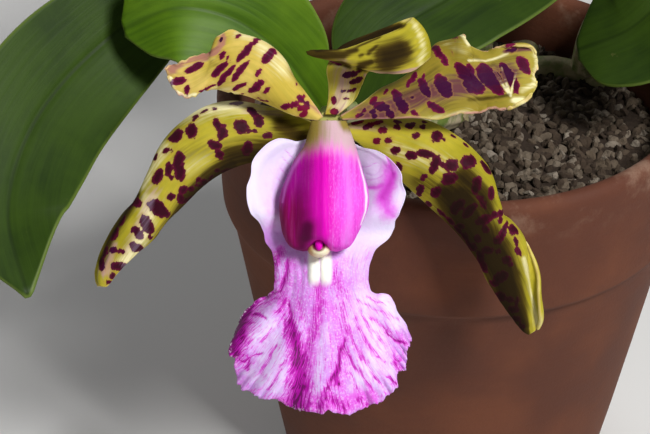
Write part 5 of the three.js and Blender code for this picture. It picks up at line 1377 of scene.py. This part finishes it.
LIP_BLUSH = [
    (0.35, 1.2, [(8.3, -12.8), (10.9, -13)]),
    # Round that crescent the blush is partly painted shade in the groove.
    (0.8, 2, 2.2, [(12.9, -9.8), (12.6, -13.6), (11.6, -16), (12.6, -18.2)]),
    # Painted shade on the left side lobe, where it lies beside the column.
    (0.35, 2.2, 2.6, [(-8.4, -10.5), (-9.6, -15), (-10.2, -20.5)]),
    (0.8, 1.3, 1.5, [(-0.6, -33.1), (-1.4, -39.9), (-3, -45.8), (-3.8, -55.8)]),
    (0.55, 1.4, 1, [(-6, -28.3), (-8, -33.9), (-12.5, -36.9)]),
    (0.5, 1.2, [(-15.9, -35.9), (-17.9, -44.8)]),
    (0.5, 1.2, 1.4, [(1, -35.9), (4, -44.8), (3, -54.8)]),
    (0.45, 0.8, [(13.9, -45.8), (14.5, -52.8)]),
    (1.2, 1.6, 2, [(-7, -55.4), (3, -56), (8.5, -55)]),
    (0.4, 0.9, [(8.5, -37.9), (12.5, -42.9)]),
]
LIP_PALE = [
    (0.8, 1.7, [(-14.5, -43.5), (-10.9, -41.1)]),
    (0.65, 1.7, 1.6, [(-14.9, -50.2), (-9.9, -53)]),
    (0.95, 1.9, [(11.9, -35.9), (14.5, -40.3)]),
    (0.7, 2, [(9.7, -45.8), (12.9, -49.4)]),
    (0.55, 1.2, 0.95, [(0.2, -40.9), (-0.8, -45.8), (-1.6, -52.8), (-1.4, -56.6)]),
    (0.45, 1.6, [(7, -26), (7.4, -32.9)]),
    (0.5, 1.6, [(3.6, -35.9), (5, -40.3)]),
    (0.7, 1.9, 1.6, [(-10.3, -42.5), (-9.3, -45.8), (-8.6, -50.8)]),
    (0.4, 1.1, [(-12.5, -38.3), (-9.9, -36.9)]),
    (0.5, 1.1, [(5, -52.8), (5.4, -55.8)]),
    (0.8, 3.2, [(8, -36), (10.5, -44), (8, -51)]),
    (0.6, 2.4, 2.6, [(-11, -40), (-12.5, -45), (-10.5, -52)]),
]


def lip_points(t, s):
    """The lip's middle surface on the bloom's face, with its frilled edge, side lobes and raised waist."""
    rows = np.moveaxis(np.array(LIP_NET, float), 1, 0)
    lines = np.moveaxis(through(rows, (s + 1) / 2), 0, 1)
    points = through(lines, t)
    outward = unit(through(lines, [1.0]) - through(lines, [0.93]))
    frill = smooth_step(0.86, 1, t)[:, None] * value_through(LIP_FRILL, (s + 1) / 2)[None, :]
    teeth = 0.7 * (clouded(34 * s + 40, 0 * s, 33) - 0.5) + 0.5 * (clouded(70 * s + 80, 0 * s, 35) - 0.5)
    frill = frill + smooth_step(0.94, 1, t)[:, None] * teeth
    spread = np.maximum(0, (t - LIP_WAIST) / (1 - LIP_WAIST))[:, None]
    points = points + outward * frill[..., None]
    points[..., 2] += LIP_RUFFLE * spread**2 * np.sin(5 * np.pi * s[None, :] + 0.6)
    # The side lobes swell outwards and turn back at their margins, which wave a little.
    far, wide = t[:, None], s[None, :]
    lobes = smooth_step(0.03, 0.22, far) * smooth_step(0.52, 0.4, far)
    out = np.abs(wide)
    left_shoulder = 3.3 * smooth_step(0.26, 0.64, out) - 0.7 * smooth_step(0.8, 1, out)
    right_shoulder = 3.4 * smooth_step(0.2, 0.6, out) - 1.6 * smooth_step(0.6, 1.06, out)
    points[..., 2] += lobes * np.where(wide > 0, right_shoulder, left_shoulder)
    # The waist rises close under the column.
    points[..., 2] += 2.2 * smooth_step(0.3, 0.46, far) * smooth_step(0.76, 0.58, far) * (1 - wide**2)
    wave = 0.8 * (clouded(26 * far + 5, 0 * far, 34) - 0.5) * smooth_step(0.88, 1, out) * (far < 0.97)
    points[..., 0] += np.sign(wide) * wave
    return points


def fan_group():
    """Fine veins that run out over a blade, meet and part again: level lines of a stretched noise."""
    tree, given = tree_named("fan veins", "ShaderNodeTree", [
        ("Across", "Float", 0.0), ("Along", "Float", 0.0), ("Count", "Float", 16.0), ("Rows", "Float", 2.0),
        ("Width", "Float", 0.05)], ("Vein", "Float"))
    laid = place(tree, "ShaderNodeCombineXYZ", {
        "X": times(tree, given["Across"], given["Count"]),
        "Y": times(tree, given["Along"], given["Rows"]), "Z": given["Count"]}).outputs[0]
    level = minus(tree, noise(tree, laid, 1.0, 1.5, 0.5), 0.5)
    away = sums(tree, "ABSOLUTE", level)
    place(tree, "NodeGroupOutput", {0: ramp(tree, away, given["Width"], 0.0)})
    return tree


FAN_VEINS = fan_group()


def lip_finish():
    material, tree, skin, where = finish_named(
        "veined lip", 0.6, Specular_IOR_Level=0.2, Subsurface_Weight=0.12,
        Subsurface_Radius=(0.0012, 0.0006, 0.0012))
    sway = times(tree, minus(tree, noise(tree, where, 260, 2), 0.5), 0.05)
    lines = {"Across": plus(tree, mark(tree, "wide"), sway), "Along": mark(tree, "far")}
    bold, fine = (
        place(tree, "ShaderNodeGroup", {**lines, "Count": count, "Rows": rows, "Width": width},
              node_tree=FAN_VEINS).outputs[0]
        for count, rows, width in ((21.0, 3.5, 0.045), (50.0, 15.0, 0.09)))
    fan, painted = mark(tree, "fan"), mark(tree, "vein")
    cloud = noise(tree, where, 150, 5, 0.6)
    fleck = noise(tree, where, 900, 3, 0.6)
    loose = minus(tree, fleck, 0.5)
    colour = mixed(tree, ramp(tree, cloud, 0.36, 0.64), LIP_ROSE, LIP_LILAC)
    pale = plus(tree, mark(tree, "pale"), times(tree, loose, 0.7))
    colour = mixed(tree, ramp(tree, pale, 0.05, 1.1), colour, LIP_WHITE)
    colour = mixed(tree, mark(tree, "pallor"), colour, SIDE_LOBE_WHITE)
    bundle = plus(tree, times(tree, times(tree, fine, fan), 0.45), 0.8)
    threads = plus(tree, times(tree, bold, 0.2), times(tree, fine, 0.32))
    vein = plus(tree, times(tree, painted, bundle), times(tree, threads, fan))
    rough = plus(tree, times(tree, fan, 0.4), 0.15)
    vein = plus(tree, vein, times(tree, loose, rough))
    blush = plus(tree, mark(tree, "blush"), times(tree, loose, 0.5))
    colour = mixed(tree, ramp(tree, blush, 0.05, 0.95), colour, LIP_FLUSH)
    colour = mixed(tree, ramp(tree, vein, 0.05, 0.55), colour, VEIN_PINK)
    # Painted glints: the cells of the mid lobe sparkle in the light.
    sparkle = ramp(tree, noise(tree, where, 2300, 2), 0.48, 0.7, 0, 0.4)
    colour = mixed(tree, times(tree, sparkle, fan), colour, SPARKLE)
    colour = mixed(tree, ramp(tree, vein, 0.4, 0.85), colour, VEIN_MAGENTA)
    # Strokes stronger than 1 turn darkest: the darkest veins, and the painted shade on the left margin.
    colour = mixed(tree, ramp(tree, vein, 0.95, 1.35), colour, DARK_VEIN_AND_PAINTED_SHADE)
    colour = mixed(tree, mark(tree, "keel"), colour, KEEL_WHITE)
    # Swollen cells at the margin catch the light like frost: painted glints.
    at_margin = times(tree, ramp(tree, mark(tree, "margin"), 1.2, 0.2), times(tree, painted, 0.45))
    glint = times(tree, at_margin, ramp(tree, noise(tree, where, 1900, 2), 0.52, 0.6))
    colour = mixed(tree, glint, colour, GLINT_WHITE)
    tree.links.new(colour, skin.inputs["Base Color"])
    cells = noise(tree, where, 1500, 2)
    crumple = noise(tree, where, 420, 4, 0.6)
    grain = plus(tree, times(tree, cells, 0.5), times(tree, crumple, 0.5))
    relief(tree, skin, grain, 0.00022, 0.6)
    return material


t = np.linspace(0, 1, LIP_ROWS + 1)
s = across_steps(LIP_COLUMNS)
points = lip_points(t, s)
far, wide = np.broadcast_arrays(t[:, None], s[None, :])
x, y = points[..., 0].copy(), points[..., 1].copy()
# The strokes waver a little, most of all on the mid lobe.
waver = 0.1 + 0.4 * smooth_step(-18, -26, y)
drift_x, drift_y = (waver * (clouded(0.8 * x + 40, 0.8 * y + 80, seed) - 0.5) for seed in (3, 4))
magenta, pale, blush = (
    brushed(x + drift_x, y + drift_y, strokes) for strokes in (LIP_MAGENTA, LIP_PALE, LIP_BLUSH))
keel_band = smooth_step(-24.5, -27, y) * smooth_step(-33.5, -31.0, y)
keels = sum(np.exp(-(((x - at) / KEEL_HALF_WIDTH) ** 4)) for at in KEEL_PLACES) * keel_band
# Veins fan out from the waist, meet and part again.
mid_lobe = smooth_step(0.5, 0.64, far)
fan = mid_lobe * (1 - 0.5 * np.clip(pale, 0, 1)) * (1 - np.clip(keels, 0, 1))
right_of = smooth_step(-2, 5, x)
pallor = 0.9 * smooth_step(-23 - 7 * right_of, -19 - 4 * right_of, y)
# Beside the column the left side lobe is a little less white: painted shade.
pallor = pallor * (1 - 0.25 * (x < 0) * smooth_step(0.9, 0.5, -wide)) * (1 - np.clip(magenta, 0, 1))
crumple = 0.3 * (clouded(12 * wide + 40, 5 * far, 21) - 0.5)
crumple = crumple + 0.1 * (clouded(2 * x + 80, 2 * y + 160, 22) - 0.5)
points[..., 2] += 0.8 * keels + mid_lobe * crumple - 0.3 * magenta
points[..., 2] -= 2.6 * smooth_step(-0.66, -1.0, wide) * smooth_step(0.7, 0.84, far)
points[..., 2] += 1.6 * smooth_step(0.9, 1, far) * (clouded(30 * wide + 40, 4 * far, 31) - 0.5)
half = 0.3 * (1 - 0.65 * smooth_step(0.86, 1, np.abs(wide))) * (1 - 0.5 * smooth_step(0.96, 1, far))
lip_mesh = thick_sheet("lip", on_bloom(points), half, {
    "vein": magenta, "fan": fan, "wide": wide, "far": far, "pale": pale, "blush": blush, "pallor": pallor,
    "keel": np.clip(keels * 1.2, 0, 1)}, -1)
lip = show("lip_blade", lip_mesh, lip_finish())
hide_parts("lip")

# ------------------------------ Column
# The column is the fused stamen and style: a hood with two broad wings, green cream where it starts
# and glowing magenta below, ridged down its front. It arches over the waist of the lip.
# Each ring: how far up it is, its left and its right end, its depth, and how far its front and its back
# swell, in millimetres on the bloom's face.
COLUMN_RINGS = [
    (-0.3, -2.8, 4.2, 2.2, 1.9, 1.35), (-2.7, -3.4, 5.2, 2.4, 3.4, 2), (-5.3, -4.2, 6.1, 3, 4.8, 2.4),
    (-8.1, -6.1, 6.9, 4, 6, 2.2), (-11.1, -7.3, 7.7, 5, 7, 2), (-14.1, -8.6, 8.5, 6, 7.5, 1.8),
    (-17, -9, 8.6, 6.5, 7.5, 1.6), (-20, -8.8, 7.6, 7, 7, 1.4), (-22.9, -8.2, 6.3, 7.2, 6, 1.2),
    (-25.1, -6.9, 4.9, 7.2, 4.5, 1), (-26.3, -4.3, 2.2, 7, 2, 0.8),
]
COLUMN_STEPS = 130
COLUMN_SIDES = 160
WINE_PAINTED_SHADE, MAGENTA_PAINTED_SHADE = (0.21, 0.0, 0.065), (0.32, 0.0, 0.23)
COLUMN_MAGENTA, COLUMN_PINK = (0.67, 0.0, 0.43), (0.78, 0.07, 0.64)
STRAND_PALE, STRAND_DARK, DASH_PINK = (0.8, 0.22, 0.82), (0.5, 0.002, 0.4), (0.84, 0.26, 0.84)
PAINTED_SHADOW_WINE, DEEPEST_PAINTED_SHADOW = (0.17, 0.0, 0.075), (0.05, 0.0, 0.025)
WING_PINK, WING_WHITE = (0.74, 0.22, 0.76), (0.88, 0.74, 0.88)
CREAM_EDGE, COLUMN_CREAM, COLUMN_GREEN = (0.82, 0.22, 0.66), (0.6, 0.4, 0.44), (0.26, 0.19, 0.035)


def closed_tube(name, rings, marks):
    """A closed mesh over rings of points (rings, sides, 3) in millimetres, with a point at each end."""
    count, sides = rings.shape[:2]
    points = np.concatenate([rings.reshape(-1, 3), rings[0].mean(axis=0)[None], rings[-1].mean(axis=0)[None]])
    at = np.arange(count * sides).reshape(count, sides)
    after = np.roll(at, -1, axis=1)
    quads = np.stack([at[:-1], after[:-1], after[1:], at[1:]], axis=-1).reshape(-1, 4)
    first, last = count * sides, count * sides + 1
    form = bmesh.new()
    knots = [form.verts.new(p) for p in points / 1000]
    for quad in quads:
        form.faces.new([knots[k] for k in quad])
    for k in range(sides):
        form.faces.new((knots[first], knots[after[0, k]], knots[at[0, k]]))
        form.faces.new((knots[last], knots[at[-1, k]], knots[after[-1, k]]))
    bmesh.ops.recalc_face_normals(form, faces=form.faces)
    mesh = bpy.data.meshes.new(name)
    form.to_mesh(mesh)
    form.free()
    mesh.polygons.foreach_set("use_smooth", [True] * len(mesh.polygons))
    for key, value in marks.items():
        value = np.concatenate([value.ravel(), value[0].mean(keepdims=True), value[-1].mean(keepdims=True)])
        mesh.attributes.new(key, "FLOAT", "POINT").data.foreach_set("value", value.astype(np.float32))
    return mesh


# Strokes on the column, as on the lip: its pale wings, and the painted shade and shadow on its left face.
COLUMN_PALE = [
    (1, 0.2, 0.5, [(5.6, -4.5), (6.7, -8.5), (7.7, -12.5), (8.1, -15.5)]),
    (1, 0.5, 0.25, [(8.1, -15.5), (7.9, -18.2), (7, -20.9)]),
    (0.5, 0.85, [(3.9, -6.4), (4.6, -12.2), (4.8, -19), (4.1, -24.2)]),
    (0.4, 0.6, 0.25, [(-4.3, -6.6), (-6.4, -9.9), (-7.7, -13.4), (-8.3, -16.5)]),
]
COLUMN_PAINTED_SHADOW = [
    (0.3, 2.2, 2.4, [(-4.8, -13.5), (-4.4, -18.5)]),
    (0.55, 2.2, 2.4, [(-4.4, -19), (-4.4, -22)]),
    (0.85, 1.6, 2.2, [(-3.6, -22), (-4.6, -25.4)]),
    (1.05, 2, 2.3, [(-3.4, -21.3), (-3.7, -23.4)]),
    (0.35, 1.2, [(-3.1, -9.3), (-3.7, -16.1)]),
]


def column_finish():
    material, tree, skin, where = finish_named(
        "magenta column", 0.62, Specular_IOR_Level=0.12, Subsurface_Weight=0.12,
        Subsurface_Radius=(0.0014, 0.0003, 0.001))
    across, down = mark(tree, "across"), mark(tree, "down")
    laid = place(tree, "ShaderNodeCombineXYZ", {"X": across, "Y": times(tree, down, 0.07)}).outputs[0]
    strand = noise(tree, laid, 1.5, 4, 0.6)
    # Painted shade darkens the left face, deepest low down; magenta on the ridge and pink to the right,
    # with paler and darker strands.
    shaded = mixed(tree, ramp(tree, down, -18.5, -12.0), WINE_PAINTED_SHADE, MAGENTA_PAINTED_SHADE)
    colour = mixed(tree, ramp(tree, across, -5.6, -1.0), shaded, COLUMN_MAGENTA)
    colour = mixed(tree, ramp(tree, across, 0.4, 3.6), colour, COLUMN_PINK)
    pallid = times(tree, ramp(tree, strand, 0.48, 0.72, 0, 0.45), ramp(tree, across, -0.4, 1.6, 0.15, 1.0))
    colour = mixed(tree, pallid, colour, STRAND_PALE)
    colour = mixed(tree, ramp(tree, strand, 0.5, 0.3, 0, 0.4), colour, STRAND_DARK)
    dash = place(tree, "ShaderNodeCombineXYZ", {
        "X": times(tree, across, 3.0), "Y": times(tree, down, 0.8)}).outputs[0]
    broken = ramp(tree, noise(tree, dash, 1.5, 2), 0.5, 0.68, 0, 0.35)
    colour = mixed(tree, times(tree, broken, ramp(tree, across, 0.0, 1.6)), colour, DASH_PINK)
    # The deep strokes are painted shadow, beside the anther cap and down the left face.
    deep = mark(tree, "deep")
    colour = mixed(tree, deep, colour, PAINTED_SHADOW_WINE)
    colour = mixed(tree, ramp(tree, deep, 0.55, 1.15, 0, 0.65), colour, DEEPEST_PAINTED_SHADOW)
    pale = mark(tree, "pale")
    colour = mixed(tree, ramp(tree, pale, 0.0, 0.6, 0, 0.6), colour, WING_PINK)
    colour = mixed(tree, ramp(tree, pale, 0.62, 0.95), colour, WING_WHITE)
    # The cream and green of its foot fray out into the magenta along the strands.
    frayed = times(tree, minus(tree, strand, 0.5), 0.6)
    cream, green = (plus(tree, mark(tree, name), frayed) for name in ("cream", "green"))
    colour = mixed(tree, ramp(tree, cream, 0.05, 0.6), colour, CREAM_EDGE)
    colour = mixed(tree, ramp(tree, cream, 0.3, 0.95), colour, COLUMN_CREAM)
    colour = mixed(tree, ramp(tree, green, 0.05, 0.95), colour, COLUMN_GREEN)
    tree.links.new(colour, skin.inputs["Base Color"])
    cells = noise(tree, where, 1400, 2)
    relief(tree, skin, plus(tree, cells, strand), 0.0001, 0.5)
    return material


COLUMN_SKIN = column_finish()
t = np.linspace(0, 1, COLUMN_STEPS + 1)
outline, section = (through(part, t) for part in np.split(np.array(COLUMN_RINGS), 2, axis=1))
y, left, right = (outline[:, k, None] for k in range(3))
depth, swell, hollow = (section[:, k, None] for k in range(3))
angle = np.linspace(0, 2 * np.pi, COLUMN_SIDES, endpoint=False)[None, :]
reach, out = np.cos(angle), np.sin(angle)
x = (left + right) / 2 + (right - left) / 2 * reach
y = np.broadcast_to(y, x.shape)
# A ridge runs down the front. Left of it the face falls away to the wing, right of it lies a furrow.
band = smooth_step(0.1, 0.35, t)[:, None] * smooth_step(1.0, 0.86, t)[:, None]
fall = -1.5 * smooth_step(-0.8, -6.4, x) * smooth_step(-1.0, -0.6, reach)
furrow = -0.6 * np.exp(-(((reach - 0.5) / 0.1) ** 2)) + 0.35 * np.exp(-(((x + 0.3) / 0.5) ** 2))
z = depth + np.where(out > 0, swell * out + band * (fall + furrow), hollow * out)
notch = 2.0 * np.exp(-(((x + 1.2) / 2.0) ** 2)) * smooth_step(0.78, 0.97, t)[:, None]
rings = np.stack([x, y + notch, z], axis=-1)
front = out > 0
cream = smooth_step(-9.8, -1.4, y + 2.0 * reach)
green = smooth_step(-10.5, -2.5, y) * smooth_step(0.45, -0.9, reach)
green = green + smooth_step(-4.0, -1.0, y) * smooth_step(0.3, 0.8, reach)
column_mesh = closed_tube("column", on_bloom(rings), {
    "cream": cream, "green": green, "across": x, "down": y,
    "pale": brushed(x, y, COLUMN_PALE) * front, "deep": brushed(x, y, COLUMN_PAINTED_SHADOW) * front})
column = show("column_hood", column_mesh, COLUMN_SKIN)
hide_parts("column")

# ------------------------------ Anther cap
# The cream cap that covers the pollen sits in the end of the column, with a magenta tooth over it.
CAP_CENTRE = (-1.2, -25.7, 8)
CAP_RADII = (2.2, 1.6, 2.4)
TOOTH_CENTRE = (-1.2, -24.7, 10.2)
TOOTH_RADII = (0.75, 1.2, 0.8)
CAP_CREAM, CAP_IVORY = (0.74, 0.62, 0.34), (0.84, 0.78, 0.56)
CAP_BROWN = (0.5, 0.22, 0.04)
TOOTH_SHADE = (0.16, 0.006, 0.03)


def ball_points(centre, radii, steps, sides):
    """Rings of points over an oval ball, from one pole to the other."""
    down = np.linspace(0.06, np.pi - 0.06, steps)[:, None]
    turn = np.linspace(0, 2 * np.pi, sides, endpoint=False)[None, :]
    x, y, z = np.broadcast_arrays(np.sin(down) * np.cos(turn), np.sin(down) * np.sin(turn), np.cos(down))
    return np.stack([x, y, z], axis=-1) * np.array(radii) + np.array(centre)


def cap_finish():
    material, tree, skin, where = finish_named("anther cap", 0.4)
    colour = mixed(tree, ramp(tree, noise(tree, where, 500, 3), 0.35, 0.7), CAP_CREAM, CAP_IVORY)
    left = place(tree, "ShaderNodeSeparateXYZ", {"Vector": where}).outputs["X"]
    colour = mixed(tree, ramp(tree, left, -0.0318, -0.033, 0, 0.8), colour, CAP_BROWN)
    hub = {0: where, 1: tuple(on_bloom(np.array(TOOTH_CENTRE)) / 1000)}
    away = place(tree, "ShaderNodeVectorMath", hub, operation="DISTANCE").outputs["Value"]
    colour = mixed(tree, ramp(tree, away, 0.00165, 0.00115), colour, TOOTH_SHADE)
    tree.links.new(colour, skin.inputs["Base Color"])
    relief(tree, skin, noise(tree, where, 1200, 3), 0.0001, 0.5)
    return material


cap_points = on_bloom(ball_points(CAP_CENTRE, CAP_RADII, 40, 60))
cap = show("anther_cap_dome", closed_tube("cap", cap_points, {}), cap_finish())
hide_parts("anther_cap")
tooth_points = on_bloom(ball_points(TOOTH_CENTRE, TOOTH_RADII, 30, 40))
tooth = show("column_tooth", closed_tube("tooth", tooth_points, {}), COLUMN_SKIN)

# ------------------------------ Finish
# The visual model's box and the CAD model's box are put side by side in one string.
seen_low, seen_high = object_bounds()
('{"cad": [%s, %s], "visual": [%s, %s]}' % tuple(
    "[" + ", ".join("%.5f" % v for v in corner) + "]" for corner in (cad_low, cad_high, seen_low, seen_high)))
